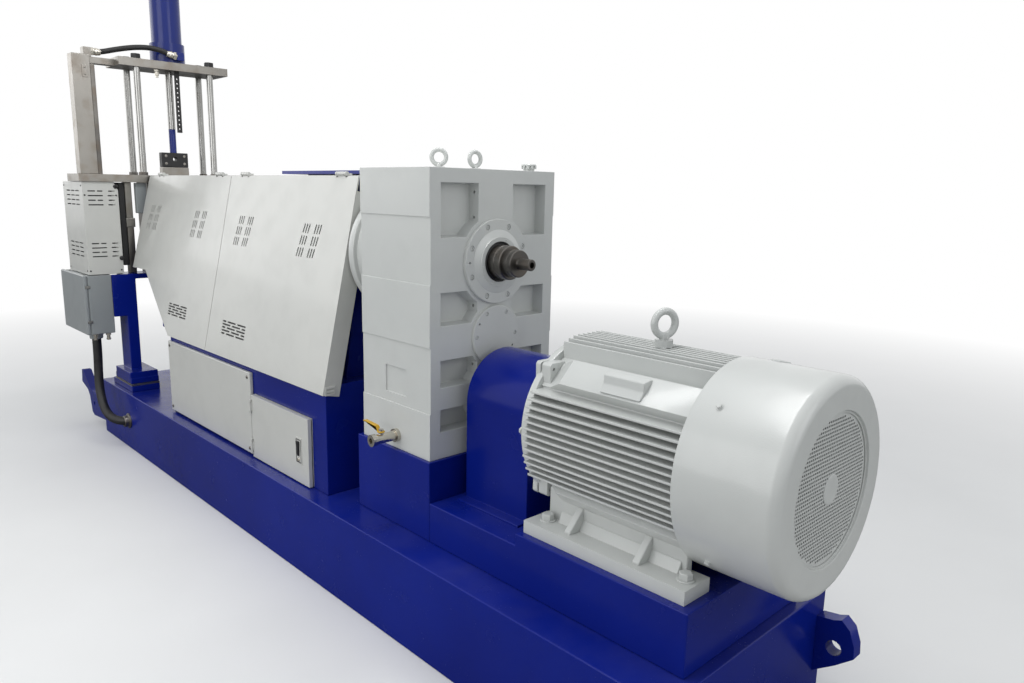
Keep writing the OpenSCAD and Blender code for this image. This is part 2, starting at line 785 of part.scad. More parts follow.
// Coupling guard, the coupling inside it, and the input shaft
cg_x0 = pedestal_x1 + coupling_guard_gap;
cg_x1 = cg_x0 + coupling_guard_length;
cg_foot = 40;
module arch(r) {
  translate([0, motor_axis_z]) circle(r = r);
  translate([-r, coupling_plinth_z1]) square([2 * r, motor_axis_z - coupling_plinth_z1]);
}
module coupling_guard() {
  color(blue) difference() {
    union() {
      along_x(cg_x0, cg_x1) arch(coupling_guard_r);
      block(cg_x0, cg_x1, -coupling_guard_r - cg_foot, coupling_guard_r + cg_foot,
            coupling_plinth_z1, coupling_plinth_z1 + coupling_guard_t);
    }
    along_x(cg_x0 + coupling_guard_t, cg_x1 - coupling_guard_t) {
      translate([0, motor_axis_z]) circle(r = coupling_guard_r - coupling_guard_t);
      translate([-coupling_guard_r + coupling_guard_t, coupling_plinth_z1 - 1])
        square([2 * (coupling_guard_r - coupling_guard_t), motor_axis_z - coupling_plinth_z1 + 1]);
    }
    bar_x(cg_x0 - 1, cg_x1 + 1, 0, motor_axis_z, input_shaft_r + 15);
  }
}
coupling_r = 120;
coupling_hub_r = 75;
coupling_disc = 60;
coupling_x = cg_x0 + coupling_guard_length / 2;
module shaft_coupling() {
  color("dimgray") {
    bar_x(gear_x1, shield_x0, 0, motor_axis_z, input_shaft_r);
    bar_x(coupling_x - 3 - coupling_disc, coupling_x - 3, 0, motor_axis_z, coupling_r);
    bar_x(coupling_x + 3, coupling_x + 3 + coupling_disc, 0, motor_axis_z, coupling_r);
    bar_x(coupling_x - 93, coupling_x + 93, 0, motor_axis_z, coupling_hub_r);
  }
}

// Motor
module motor_end_shield() {
  color(paint_white) {
    bar_x(shield_x0 + 18, frame_x0, 0, motor_axis_z, shield_r);
    bar_x(shield_x0, shield_x0 + 18, 0, motor_axis_z, shield_r - 60);
  }
}
side_fins = 6;
top_fins = 5;
flat_y = 286;
module fin_profile() {
  circle(r = frame_core_r);
  for (k = [-side_fins : side_fins]) {
    dz = k * fin_pitch;
    reach = min(flat_y, sqrt(fin_tip_r * fin_tip_r - dz * dz));
    translate([-reach, dz - fin_thickness / 2]) square([2 * reach, fin_thickness]);
  }
  for (k = [-top_fins : top_fins]) {
    dy = k * fin_pitch;
    reach = min(flat_y, sqrt(fin_tip_r * fin_tip_r - dy * dy));
    translate([dy - fin_thickness / 2, 0]) square([fin_thickness, reach]);
  }
  for (a = [45, 135, 225, 315])
    rotate(a) translate([frame_core_r - 40, -45]) square([fin_tip_r - frame_core_r + 34, 90]);
}
module motor_frame() {
  color(paint_white) along_x(frame_x0, frame_x1) translate([0, motor_axis_z]) fin_profile();
}
foot_x0 = frame_x0 + 10;
foot_x1 = frame_x1 + 53;
foot_y = 282;
foot_width = 118;
foot_t = 41;
foot_web_t = 24;
foot_web_y = 196;
foot_rib_gaps = [148, 402];
foot_rib_h = 70;
foot_rib_toe = 29;
foot_rib_xs = [for (g = foot_rib_gaps) foot_x0 + g];
module motor_feet() {
  color(paint_white) difference() {
    for (side = [-1, 1]) scale([1, side, 1]) {
      block(foot_x0, foot_x1, -foot_y, -foot_y + foot_width, motor_feet_z, motor_feet_z + foot_t);
      block(foot_x0 + 30, frame_x1, -foot_web_y, -foot_web_y + foot_web_t,
            motor_feet_z, motor_axis_z - 120);
      for (x = foot_rib_xs)
        translate([x, 0, 0]) along_x(0, 22)
          polygon([[-foot_y + foot_rib_toe, motor_feet_z + foot_t], [-foot_web_y, motor_feet_z + foot_t],
                   [-foot_web_y, motor_feet_z + foot_t + foot_rib_h]]);
    }
    bar_x(frame_x0 - 1, frame_x1 + 1, 0, motor_axis_z, fin_tip_r + 30);
  }
  color(paint_white) for (side = [-1, 1])
    block(foot_x0, foot_x1, side > 0 ? foot_y - foot_width : -foot_y,
          side > 0 ? foot_y : -foot_y + foot_width, motor_feet_z, motor_feet_z + foot_t);
}
cowl_wall = 6;
grille_recess = 14;
module motor_fan_cowl() {
  color(paint_white) difference() {
    translate([frame_x1, 0, motor_axis_z]) rotate([0, 90, 0]) rotate_extrude() {
      square([cowl_r, cowl_length - 30]);
      square([cowl_r - 30, cowl_length]);
      translate([cowl_r - 30, cowl_length - 30]) circle(r = 30);
    }
    bar_x(cowl_x1 - grille_recess, cowl_x1 + 1, 0, motor_axis_z, grille_r);
  }
}
terminal_x0 = 1560;
terminal_x1 = 1800;
terminal_y = 410;
module motor_terminal_box() {
  color(paint_white) {
    block(terminal_x0, terminal_x1, flat_y, terminal_y, motor_axis_z - 110, motor_axis_z + 110);
    bar_z((terminal_x0 + terminal_x1) / 2, (flat_y + terminal_y) / 2,
          motor_axis_z - 150, motor_axis_z - 110, 30);
  }
}

// Posts that carry the head, front and back, on stacked foot plates, and the front bracket plate
foot_plates = [[-75, 113, 0, 35], [-25, 105, 47, 80], [-15, 95, 80, 115]];
shim_z0 = base_height + 35;
shim_z1 = base_height + 47;
post_foot_out = 40;
post_foot_in = 60;
shim_left = 30;
shim_right = 111;
bracket_y = 441;
bracket_z0 = 790;
bracket_t = 20;
strut_x0 = post_x0 + 50;
strut_x1 = strut_x0 + 50;
shelf_z0 = head_block_z0 - 90;
module head_posts() {
  color(blue) {
    block_pair(post_x0, post_x1, post_y0, post_y1, base_height + foot_plates[2][3] - 1, post_z1);
    for (p = foot_plates)
      block_pair(post_x0 + p[0], post_x1 + p[1], post_y0 - post_foot_in, post_y1 + post_foot_out,
                 base_height + p[2], base_height + p[3]);
    block(post_x1 - bracket_t, post_x1, -bracket_y, -post_y1, bracket_z0, post_z1);
    block_pair(post_x0, post_x1, head_block_y, post_y0, shelf_z0, post_z1);
  }
}

// Hanger bars from the lower plate down to the posts
hanger_y = 279;
hanger_width = 39;
module hanger_bars() {
  color("lightgray") block_pair(strut_x0, strut_x1, hanger_y, hanger_y + hanger_width,
                                post_z1, head_low_z);
}

// Head block with the slot for the screen slide and the outlet flange
slot_x = slide_t / 2 + slide_gap;
slot_y = slide_width / 2 + slide_gap;
outlet_x0 = head_block_x0 - 70;
outlet_r = outlet_pcd / 2 + 25;
outlet_bolts = 8;
outlet_bolt_r = 9;
outlet_flange_t = 30;
module head_block() {
  color("gray") difference() {
    union() {
      block(head_block_x0, head_block_x1, -head_block_y, head_block_y, head_block_z0, head_low_z);
      block(head_block_x0, head_block_x1, -head_block_y, head_block_y, shelf_z0, head_block_z0);
      bar_x(outlet_x0, head_block_x0, 0, screw_axis_z, outlet_bore_d / 2 + 30);
      bar_x(outlet_x0, outlet_x0 + outlet_flange_t, 0, screw_axis_z, outlet_r);
    }
    block(head_mid_x - slot_x, head_mid_x + slot_x, -slot_y, slot_y,
          shelf_z0 - 1, head_low_z + 1);
    bar_x(outlet_x0 - 1, head_mid_x - slot_x + 1, 0, screw_axis_z, outlet_bore_d / 2);
    for (i = [0 : outlet_bolts - 1]) rotate_bolt(i)
      translate([outlet_x0 - 1, 0, screw_axis_z + outlet_pcd / 2]) rotate([0, 90, 0])
        cylinder(r = outlet_bolt_r, h = outlet_flange_t + 2);
  }
}
module rotate_bolt(i) {
  translate([0, 0, screw_axis_z]) rotate([i * 360 / outlet_bolts, 0, 0])
    translate([0, 0, -screw_axis_z]) children();
}
module head_plates() {
  color(steel) difference() {
    union() {
      block(head_x0, head_face_x, head_front_y, head_half_y, head_low_z, head_low_z1);
      block(head_x0, head_face_x, -head_half_y, head_half_y, head_high_z, head_high_z1);
      block(head_mid_x - 30, head_mid_x + 30, column_y1, -head_half_y,
            head_high_z, head_high_z1 - 10);
      block(head_mid_x - 22, head_mid_x + 32, hose_y0 - 40, hose_y0, head_high_z1 - 11,
            hose_start_z + 18);
      block_pair(post_x0 - shim_left, post_x1 + shim_right, post_y0 - post_foot_in,
                 post_y1 + post_foot_out, shim_z0, shim_z1);
    }
    block(head_mid_x - slot_x, head_mid_x + slot_x, -slot_y, slot_y,
          head_low_z - 1, head_low_z1 + 1);
    bar_z(head_mid_x, 0, head_high_z - 1, head_high_z1 + 1, piston_rod_r + pin_gap);
  }
}
module tie_rods() {
  color(steel) for (dx = [-tie_rod_dx, tie_rod_dx]) for (dy = [-tie_rod_dy, tie_rod_dy])
    bar_z(head_mid_x + dx, dy, head_low_z1, head_high_z, tie_rod_r);
}
cylinder_bore_r = 64;
cylinder_end = 40;
collar_h = 114;
port_inset = 70;
port_length = 62;
port_x0 = head_mid_x + port_inset;
port_x1 = port_x0 + port_length;
port_y0 = 8;
port_y1 = 48;
module hydraulic_cylinder() {
  color("royalblue") difference() {
    union() {
      bar_z(head_mid_x, 0, head_high_z1, head_high_z1 + cylinder_length, cylinder_r);
      bar_z(head_mid_x, 0, head_high_z1, head_high_z1 + collar_h, collar_r);
      block(port_x0, port_x1, port_y0, port_y1, hose_end_z - 22, hose_end_z + 22);
    }
    bar_z(head_mid_x, 0, head_high_z1 - 1, head_high_z1 + cylinder_length - cylinder_end,
          piston_rod_r + pin_gap);
    bar_z(head_mid_x, 0, head_high_z1 + cylinder_end,
          head_high_z1 + cylinder_length - cylinder_end, cylinder_bore_r);
  }
}
rod_bottom_z = 1900;
clevis_length = 140;
piston_h = 40;
piston_z = head_high_z1 + cylinder_length - cylinder_end - piston_h - 10;
module piston_rod() {
  color(steel) {
    bar_z(head_mid_x, 0, rod_bottom_z, piston_z, piston_rod_r);
    bar_z(head_mid_x, 0, piston_z, piston_z + piston_h, cylinder_bore_r - 1);
  }
}
slide_z0 = 1180;
screen_r = 42;
module screen_slide() {
  color("slategray") {
    difference() {
      block(head_mid_x - slide_t / 2, head_mid_x + slide_t / 2, -slide_width / 2, slide_width / 2,
            slide_z0, rod_bottom_z - clevis_length);
      for (z = [screw_axis_z, screw_axis_z + slide_travel])
        bar_x(head_mid_x - slide_t, head_mid_x + slide_t, 0, z, screen_r);
    }
    bar_z(head_mid_x, 0, rod_bottom_z - clevis_length, rod_bottom_z, piston_rod_r - 1);
  }
}

// Guide column on the front end of the lower plate, with its inner guide strip
column_y0 = head_front_y + 38;
column_y1 = column_y0 + 56;
column_gap = 10;
column_width = 153;
column_x1 = head_face_x - column_gap;
column_x0 = column_x1 - column_width;
column_z1 = head_high_z1 - 10;
strip_y1 = column_y1 + 32;
module guide_column() {
  color("lightgray") {
    block(column_x0, column_x1, column_y0, column_y1, head_low_z1, column_z1);
    block(column_x0 + 30, column_x1 - 15, column_y1, strip_y1, head_low_z1, head_high_z);
  }
}
// Switch rail that hangs from the top plate beside the piston rod
rail_switch_x0 = head_mid_x + 55;
rail_switch_y0 = 10;
rail_switch_w = 28;
module switch_rail() {
  color("dimgray") block(rail_switch_x0, rail_switch_x0 + 12, rail_switch_y0,
                         rail_switch_y0 + rail_switch_w, rod_bottom_z - 20, head_high_z);
}

// White vented cover of the head's heaters, under the lower plate
cover_x0 = -2215;
cover_x1 = head_face_x - 10;
cover_y0 = -560;
cover_y1 = -369;
cover_z0 = 1045;
module heater_cover() {
  color(paint_white) block(cover_x0, cover_x1, cover_y0, cover_y1, cover_z0, head_low_z);
}
jbox_x0 = -2290;
jbox_y0 = -595;
jbox_z0 = 695;
jbox_z1 = 1045;
gland_x = -1960;
gland_y = -515;
gland_r = 40;
gland_h = 45;
module junction_box() {
  color("darkgray") {
    block(jbox_x0, cover_x1, jbox_y0, -bracket_y, jbox_z0, jbox_z1);
    bar_z(gland_x, gland_y, jbox_z0 - gland_h, jbox_z0, gland_r);
  }
}

// Conduit from the box's gland down into the front of the base
conduit_r = 25;
conduit_points = [
  [-1960, -515, 650], [-1960, -515, 590], [-1961, -516, 530], [-1962, -518, 470],
  [-1958, -521, 410], [-1946, -524, 352], [-1924, -526, 300], [-1894, -526, 256],
  [-1858, -523, 222], [-1818, -515, 198], [-1780, -501, 184], [-1748, -480, 178],
  [-1728, -458, 176], [-1722, -438, 176]
];
conduit_sides = 12;
function unit(v) = v / norm(v);
function tangent(p, i) = unit(p[min(i + 1, len(p) - 1)] - p[max(i - 1, 0)]);
// Ends are cut square to the gland above and to the base in front
function ring_dir(p, i, first) = i == 0 ? first : i == len(p) - 1 ? [0, 1, 0] : tangent(p, i);
function carried(p, i, first) = i == 0 ? [1, 0, 0] :
  let (c = carried(p, i - 1, first), d = ring_dir(p, i, first)) unit(c - d * (c * d));
module swept(p, r, first) {
  n = conduit_sides;
  pts = [for (i = [0 : len(p) - 1])
    let (d = ring_dir(p, i, first), a = carried(p, i, first), b = cross(d, a))
    for (k = [0 : n - 1]) p[i] + r * (a * cos(360 * k / n) + b * sin(360 * k / n))];
  sides = [for (i = [0 : len(p) - 2]) for (k = [0 : n - 1])
    [i * n + k, i * n + (k + 1) % n, (i + 1) * n + (k + 1) % n, (i + 1) * n + k]];
  ends = [[for (k = [n - 1 : -1 : 0]) k], [for (k = [0 : n - 1]) (len(p) - 1) * n + k]];
  polyhedron(points = pts, faces = concat(sides, ends), convexity = 4);
}
module cable_conduit() {
  color("black") swept(conduit_points, conduit_r, [0, 0, -1]);
}

// Hydraulic hose from the bridge of the head to the port of the cylinder
hose_r = 15;
hose_y0 = -435;
hose_start_z = 2302;
hose_end_z = 2316;
hose_points = [
  [-1935, hose_y0, hose_start_z], [-1935, -400, hose_start_z], [-1932, -360, 2309], [-1925, -315, 2322],
  [-1912, -265, 2335], [-1893, -220, 2344], [-1871, -175, 2349], [-1851, -130, 2349],
  [-1837, -88, 2343], [-1830, -50, 2332], [-1828, -18, 2321], [-1828, port_y0, hose_end_z]
];
module hydraulic_hose() {
  color("black") swept(hose_points, hose_r, [0, 1, 0]);
}

base_frame();
lifting_lugs();
gearbox_pedestal();
drive_plinth();
support_box();
side_panels();
control_cabinet();
cabinet_door();
door_handle();
gearbox_base_section();
gearbox_low_section();
gearbox_middle_section();
gearbox_upper_section();
gearbox_top_section();
bearing_covers();
output_shaft();
eyebolts();
drain_valve();
drain_lever();
thrust_housing();
barrel();
heater_bands();
feed_throat();
guard_frame();
guard_top();
guard_cover_left();
guard_cover_right();
guard_back_covers();
coupling_guard();
shaft_coupling();
motor_end_shield();
motor_frame();
motor_feet();
motor_fan_cowl();
motor_terminal_box();
head_posts();
hanger_bars();
head_block();
head_plates();
tie_rods();
hydraulic_cylinder();
piston_rod();
screen_slide();
guide_column();
heater_cover();
junction_box();
cable_conduit();
switch_rail();
hydraulic_hose();
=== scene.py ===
# %% [markdown]
# # A plastic extruder, dressed for its portrait
# The machine is a single-screw extruder on a welded base. A motor drives a gearbox,
# the gearbox turns a screw in a barrel under sheet covers, and a screen changer closes
# the far end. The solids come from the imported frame. Everything below either gives one
# of them its finish, or puts a finer piece in its place. All lengths are in metres.

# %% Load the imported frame
import json
import math

import bpy
from mathutils import Matrix, Vector

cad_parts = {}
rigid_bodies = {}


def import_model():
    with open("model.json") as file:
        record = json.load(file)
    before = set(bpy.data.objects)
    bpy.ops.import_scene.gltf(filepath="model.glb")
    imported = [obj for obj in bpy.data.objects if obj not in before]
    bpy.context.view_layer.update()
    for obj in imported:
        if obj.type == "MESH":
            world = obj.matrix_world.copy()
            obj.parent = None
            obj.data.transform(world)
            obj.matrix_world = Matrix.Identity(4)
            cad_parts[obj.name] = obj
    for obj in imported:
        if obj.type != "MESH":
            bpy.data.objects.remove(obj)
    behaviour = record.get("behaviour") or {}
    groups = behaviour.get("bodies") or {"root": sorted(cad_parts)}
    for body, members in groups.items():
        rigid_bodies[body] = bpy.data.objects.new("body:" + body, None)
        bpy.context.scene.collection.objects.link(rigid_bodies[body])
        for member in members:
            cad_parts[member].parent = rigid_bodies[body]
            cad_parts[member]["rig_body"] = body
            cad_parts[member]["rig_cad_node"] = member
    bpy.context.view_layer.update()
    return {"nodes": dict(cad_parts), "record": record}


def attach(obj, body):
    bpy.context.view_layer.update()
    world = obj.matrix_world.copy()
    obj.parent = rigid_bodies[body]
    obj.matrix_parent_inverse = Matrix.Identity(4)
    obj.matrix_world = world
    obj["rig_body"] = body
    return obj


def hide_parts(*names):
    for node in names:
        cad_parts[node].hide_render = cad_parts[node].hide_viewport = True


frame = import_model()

record = frame["record"]
body_of = {node: body for body, nodes in record["behaviour"]["bodies"].items() for node in nodes}
slot_of = {part["node"]: part["material_slot"] for part in record["subparts"]}
bpy.ops.object.select_all(action="DESELECT")

# %% [markdown]
# ## Camera
# The portrait is taken from beyond the motor's end, at eye height, with a wide lens. The
# camera's place and turn were solved from the long edges of the base, so it is set by a
# matrix and not by a constraint.

# %% Camera
EYE = Vector((3.079, -1.881, 1.574))
YAW, PITCH, ROLL = (math.radians(angle) for angle in (43.803, 11.015, -1.149))
LENS_MM, SENSOR_MM = 27.28, 36
forward = Vector((-math.cos(YAW) * math.cos(PITCH), math.sin(YAW) * math.cos(PITCH), -math.sin(PITCH)))
level_right = Vector((math.sin(YAW), math.cos(YAW), 0))
level_down = forward.cross(level_right)
right = math.cos(ROLL) * level_right + math.sin(ROLL) * level_down
down = math.cos(ROLL) * level_down - math.sin(ROLL) * level_right
turn = Matrix((right, -down, -forward)).transposed().to_4x4()

bpy.ops.object.camera_add()
camera = bpy.context.object
camera.name = "portrait_camera"
camera.data.lens, camera.data.sensor_width = LENS_MM, SENSOR_MM
camera.matrix_world = Matrix.Translation(EYE) @ turn
bpy.context.scene.camera = camera
print("camera at", tuple(round(c, 3) for c in EYE))

# %% [markdown]
# ## Shader sums
# A finish is a small sum: so much of one colour where a mask is high, a little more
# roughness where dust lies. Written as nodes, a sum of three terms is already a tangle,
# so a class wraps a socket and lets Python's own signs add the Math nodes.

# %% A socket that can be used in sums
class Wire:
    """One output socket. Sums of wires and numbers add Math nodes to its tree."""

    def __init__(self, tree, socket):
        self.tree = tree
        self.socket = socket

    def sum_with(self, operation, first, second):
        node = self.tree.nodes.new("ShaderNodeMath")
        node.operation = operation
        for slot, value in zip(node.inputs, (first, second)):
            if isinstance(value, Wire):
                self.tree.links.new(value.socket, slot)
            else:
                slot.default_value = value
        return Wire(self.tree, node.outputs[0])

    def __add__(self, other):
        return self.sum_with("ADD", self, other)

    def __radd__(self, other):
        return self.sum_with("ADD", other, self)

    def __sub__(self, other):
        return self.sum_with("SUBTRACT", self, other)

    def __rsub__(self, other):
        return self.sum_with("SUBTRACT", other, self)

    def __mul__(self, other):
        return self.sum_with("MULTIPLY", self, other)

    def __rmul__(self, other):
        return self.sum_with("MULTIPLY", other, self)


# %% [markdown]
# ## A finish
# Each finish is one material with one Principled shader. Numbers that are the same all
# over the surface are set on the shader's own sockets. Masks come from noise in Object
# coordinates, so a pattern has the same scale on a bolt and on the long base.

# %% The finish class
class Finish:
    """A material whose nodes are added by type, settings and sockets."""

    def __init__(self, name, **sockets):
        self.material = bpy.data.materials.new(name)
        self.material.use_nodes = True
        self.tree = self.material.node_tree
        self.shader = next(n for n in self.tree.nodes if n.type == "BSDF_PRINCIPLED")
        for socket, value in sockets.items():
            self.shader.inputs[socket.replace("_", " ")].default_value = value
        self.here = self.node("ShaderNodeTexCoord", out="Object")

    def node(self, kind, settings=None, out=0, **sockets):
        node = self.tree.nodes.new(kind)
        for name, value in (settings or {}).items():
            setattr(node, name, value)
        for name, value in sockets.items():
            self.connect(value, node.inputs[int(name[1:]) if name[0] == "n" and name[1:].isdigit()
                                            else name.replace("_", " ")])
        return Wire(self.tree, node.outputs[out])

    def connect(self, value, socket):
        if isinstance(value, Wire):
            self.tree.links.new(value.socket, socket)
        elif hasattr(socket.default_value,
                     "__len__") and len(value) == 3 and len(socket.default_value) == 4:
            socket.default_value = (*value, 1)
        else:
            socket.default_value = value

    def feed(self, socket, value):
        self.connect(value, self.shader.inputs[socket])

    def noise(self, scale, detail=3.0, stretch=(1, 1, 1)):
        where = self.here
        if stretch != (1, 1, 1):
            where = self.node("ShaderNodeMapping", Vector=where, Scale=stretch)
        return self.node("ShaderNodeTexNoise", Vector=where, Scale=scale, Detail=detail)

    def ramp(self, value, low, high):
        return self.node("ShaderNodeMapRange", {"clamp": True}, n0=value, n1=low, n2=high)

    def mix(self, mask, first, second):
        return self.node("ShaderNodeMix", {"data_type": "RGBA"}, out=2, n0=mask, n6=first, n7=second)

    def bump(self, *layers):
        """Layers are (height, distance in metres), the coarsest first."""
        normal = None
        for height, distance in layers:
            sockets = {"Height": height, "Distance": distance, "Strength": 1.0}
            if normal is not None:
                sockets["Normal"] = normal
            normal = self.node("ShaderNodeBump", **sockets)
        self.feed("Normal", normal)

    def upward(self):
        """One where the surface looks up, nought on walls."""
        normal = self.node("ShaderNodeTexCoord", out="Normal")
        height = self.node("ShaderNodeSeparateXYZ", out=2, Vector=normal)
        return self.ramp(height, 0.75, 0.98)


print("finish class ready")

# %% [markdown]
# ### Paints
# Three paints cover most of the machine. The base has a deep glossy ultramarine enamel,
# brushed and sprayed over welded plate, so its reflections wave a little. The sheet
# covers have a satin powder coat with a very fine grain. The castings have nearly the
# same grey-white over a rougher skin, with orange peel that catches points of light.
# Each row of the table is the name, two close colours, the roughness, the depths of the
# waves and of the grain in metres, the dust, and for some the coat and the specular level.

# %% Enamel, powder coat and casting paint
DUST_COLOUR, BLOOM_COLOUR = (0.30, 0.29, 0.27), (0.20, 0.13, 0.075)


def enamel(name, dark, light, roughness, wave, grain, dust, coat=0.35, level=0.35):
    """Paint in two close colours, with long waves, orange peel and dust on what looks up."""
    paint = Finish(name, Coat_Roughness=0.12, Specular_IOR_Level=level)
    cloudy = paint.ramp(paint.noise(1.3, 4), 0.3, 0.7)
    smudge = paint.ramp(paint.noise(9, 5), 0.45, 0.75)
    speck = paint.ramp(paint.noise(150, 2), 0.66, 0.74)
    lying = paint.upward() * paint.ramp(paint.noise(5, 6), 0.35, 0.8)
    colour = paint.mix(cloudy, dark, light)
    colour = paint.mix(smudge * 0.12, colour, tuple(c * 0.6 for c in light))
    colour = paint.mix(lying * dust, colour, DUST_COLOUR)
    paint.feed("Base Color", colour)
    paint.feed("Roughness", roughness + 0.10 * smudge + 0.25 * dust * lying + 0.05 * speck)
    paint.feed("Coat Weight", coat - coat * 0.8 * lying)
    paint.bump((paint.noise(2.2, 2), wave), (paint.noise(320, 2), grain))
    return paint.material


PAINTS = {
    "blue_paint": ("blue_enamel", (0.0022, 0.0085, 0.155), (0.0040, 0.0150, 0.225),
                   0.20, 0.004, 0.00010, 0.06, 0.10, 0.16),
    "white_sheet": ("white_powder_coat", (0.530, 0.535, 0.508), (0.576, 0.578, 0.546),
                    0.33, 0.003, 0.00006, 0.10),
    "grey_enamel": ("casting_paint", (0.530, 0.546, 0.530), (0.582, 0.594, 0.574),
                    0.30, 0.002, 0.00028, 0.12),
    "box_grey": ("grey_powder_coat", (0.235, 0.255, 0.262), (0.285, 0.305, 0.310),
                 0.38, 0.002, 0.00012, 0.15),
    "cylinder_blue": ("cylinder_enamel", (0.006, 0.017, 0.150), (0.009, 0.024, 0.200),
                      0.18, 0.001, 0.00006, 0.05, 0.20, 0.25),
}
finishes = {slot: enamel(*row) for slot, row in PAINTS.items()}
print("paints:", len(finishes))

# %% [markdown]
# ### Metals
# Ground plates show fine parallel lines from the grinder and a brown bloom where hands
# and coolant have been. Machined shafts are darker, with turning marks round them. Rods
# are hard chrome. A line pattern is noise that is squeezed along one axis or two. A row
# is the name, two colours, the roughness, the scale of the lines and their squeeze, how
# much brown bloom there is, and for the chrome a smaller depth of the lines in metres.

# %% Ground, turned and plated metals
def metal(name, dark, light, roughness, lines, stretch, bloom, depth=0.00012):
    surface = Finish(name, Metallic=1.0)
    grain = surface.noise(lines, 2, stretch)
    stain = surface.ramp(surface.noise(14, 6), 0.48, 0.72)
    cloudy = surface.noise(3, 3)
    colour = surface.mix(surface.ramp(cloudy, 0.3, 0.7), dark, light)
    colour = surface.mix(stain * bloom, colour, BLOOM_COLOUR)
    surface.feed("Base Color", colour)
    surface.feed("Roughness", roughness + 0.16 * (grain - 0.5) + 0.25 * bloom * stain)
    surface.bump((grain, depth))
    return surface.material


METALS = {
    "bright_steel": ("ground_steel", (0.25, 0.24, 0.22), (0.34, 0.325, 0.30), 0.38, 90, (1, 12, 40),
                     0.30),
    "dark_steel": ("oiled_steel", (0.10, 0.095, 0.09), (0.20, 0.19, 0.175), 0.34, 60, (40, 1, 1), 0.35),
    "rod_chrome": ("hard_chrome", (0.28, 0.28, 0.27), (0.40, 0.40, 0.39), 0.20, 60, (1, 1, 9), 0.10,
                   0.000004),
    "band_metal": ("band_heater_sheet", (0.40, 0.39, 0.37), (0.55, 0.54, 0.52), 0.40, 70, (30, 1, 1),
                   0.25),
    "valve_metal": ("plated_brass", (0.55, 0.52, 0.46), (0.70, 0.67, 0.60), 0.20, 120, (1, 20, 1),
                    0.15),
}
finishes.update((slot, metal(*row)) for slot, row in METALS.items())
print("metals done, finishes:", len(finishes))

# %% [markdown]
# ### Plastics and rubber
# The lever has a thick yellow dip, the door's handle is moulded black plastic, and the
# conduit and the hose are black rubber with a fine woven print. All three are soft in
# their shine, and carry dust in patches. A row is the name, the clean and the worn colour,
# the roughness, and the scale and the depth of the grain.

# %% Dipped, moulded and rubber surfaces
def polymer(name, colour, worn, roughness, grain_scale, grain):
    surface = Finish(name, Specular_IOR_Level=0.45)
    patch = surface.ramp(surface.noise(22, 5), 0.42, 0.78)
    fine = surface.noise(grain_scale, 2)
    surface.feed("Base Color", surface.mix(patch * 0.55, colour, worn))
    surface.feed("Roughness", roughness + 0.18 * patch + 0.08 * (fine - 0.5))
    surface.bump((fine, grain))
    return surface.material


POLYMERS = {
    "lever_yellow": ("yellow_dip", (0.62, 0.36, 0.015), (0.45, 0.27, 0.03), 0.38, 300, 0.00015),
    "handle_black": ("black_moulding", (0.012, 0.012, 0.013), (0.03, 0.03, 0.03), 0.42, 500, 0.00012),
    "conduit_black": ("black_rubber", (0.012, 0.012, 0.013), (0.045, 0.044, 0.042), 0.46, 420, 0.00030),
}
finishes.update((slot, polymer(*row)) for slot, row in POLYMERS.items())
print("finishes:", sorted(finishes))

# %% [markdown]
# ## Conduit and hose
# Two lines go back into the machine. The black conduit hangs from its gland under the
# junction box, swings out past the plinth and enters the base. It is stiff, so its bend
# is wide. The hydraulic hose arches over the top plate from the bridge to the cylinder.
# Each follows the route that the source gives, as one open spline with a round bevel.

# %% Routes, in metres
CONDUIT = [(-1.960, -0.515, 0.650), (-1.960, -0.515, 0.590), (-1.961, -0.516, 0.530),
           (-1.962, -0.518, 0.470),
           (-1.958, -0.521, 0.410), (-1.946, -0.524, 0.352), (-1.924, -0.526, 0.300),
           (-1.894, -0.526, 0.256),
           (-1.858, -0.523, 0.222), (-1.818, -0.515, 0.198), (-1.780, -0.501, 0.184),
           (-1.748, -0.480, 0.178),
           (-1.728, -0.458, 0.176), (-1.722, -0.438, 0.176)]
HOSE = [(-1.935, -0.435, 2.302), (-1.935, -0.400, 2.302), (-1.932, -0.360, 2.309),
        (-1.925, -0.315, 2.322),
        (-1.912, -0.265, 2.335), (-1.893, -0.220, 2.344), (-1.871, -0.175, 2.349),
        (-1.851, -0.130, 2.349),
        (-1.837, -0.088, 2.343), (-1.830, -0.050, 2.332), (-1.828, -0.018, 2.321),
        (-1.828, 0.008, 2.316)]


def between(before, start, end, after, share):
    """A point on the smooth curve from start to end, at a share of the way."""
    a, b, c, d = (Vector(p) for p in (before, start, end, after))
    return 0.5 * (2 * b + (c - a) * share + (2 * a - 5 * b + 4 * c - d) * share ** 2
                  + (3 * b - a - 3 * c + d) * share ** 3)


def flowing(route, parts=2):
    """The route with points added between its own, so that no kink shows."""
    ends = [route[0]] + list(route) + [route[-1]]
    made = []
    for number in range(len(route) - 1):
        made += [between(*ends[number:number + 4], part / parts) for part in range(parts)]
    return made + [Vector(route[-1])]


def hose_line(name, route, radius):
    points = flowing(route)
    shape = bpy.data.curves.new(name, "CURVE")
    shape.dimensions = "3D"
    shape.bevel_depth = radius
    shape.bevel_resolution = 8
    shape.use_fill_caps = True
    spline = shape.splines.new("POLY")
    spline.points.add(len(points) - 1)
    for target, point in zip(spline.points, points):
        target.co = (*point, 1)
    spline.use_smooth = True
    line = bpy.data.objects.new(name, shape)
    bpy.context.scene.collection.objects.link(line)
    shape.materials.append(finishes["conduit_black"])
    length = sum((b - a).length for a, b in zip(points, points[1:]))
    print(name, "points:", len(points), "length:", round(length, 3))
    return line, round(length, 3)


conduit, conduit_length = hose_line("conduit_line", CONDUIT, 0.025)
hose, hose_length = hose_line("hydraulic_line", HOSE, 0.015)

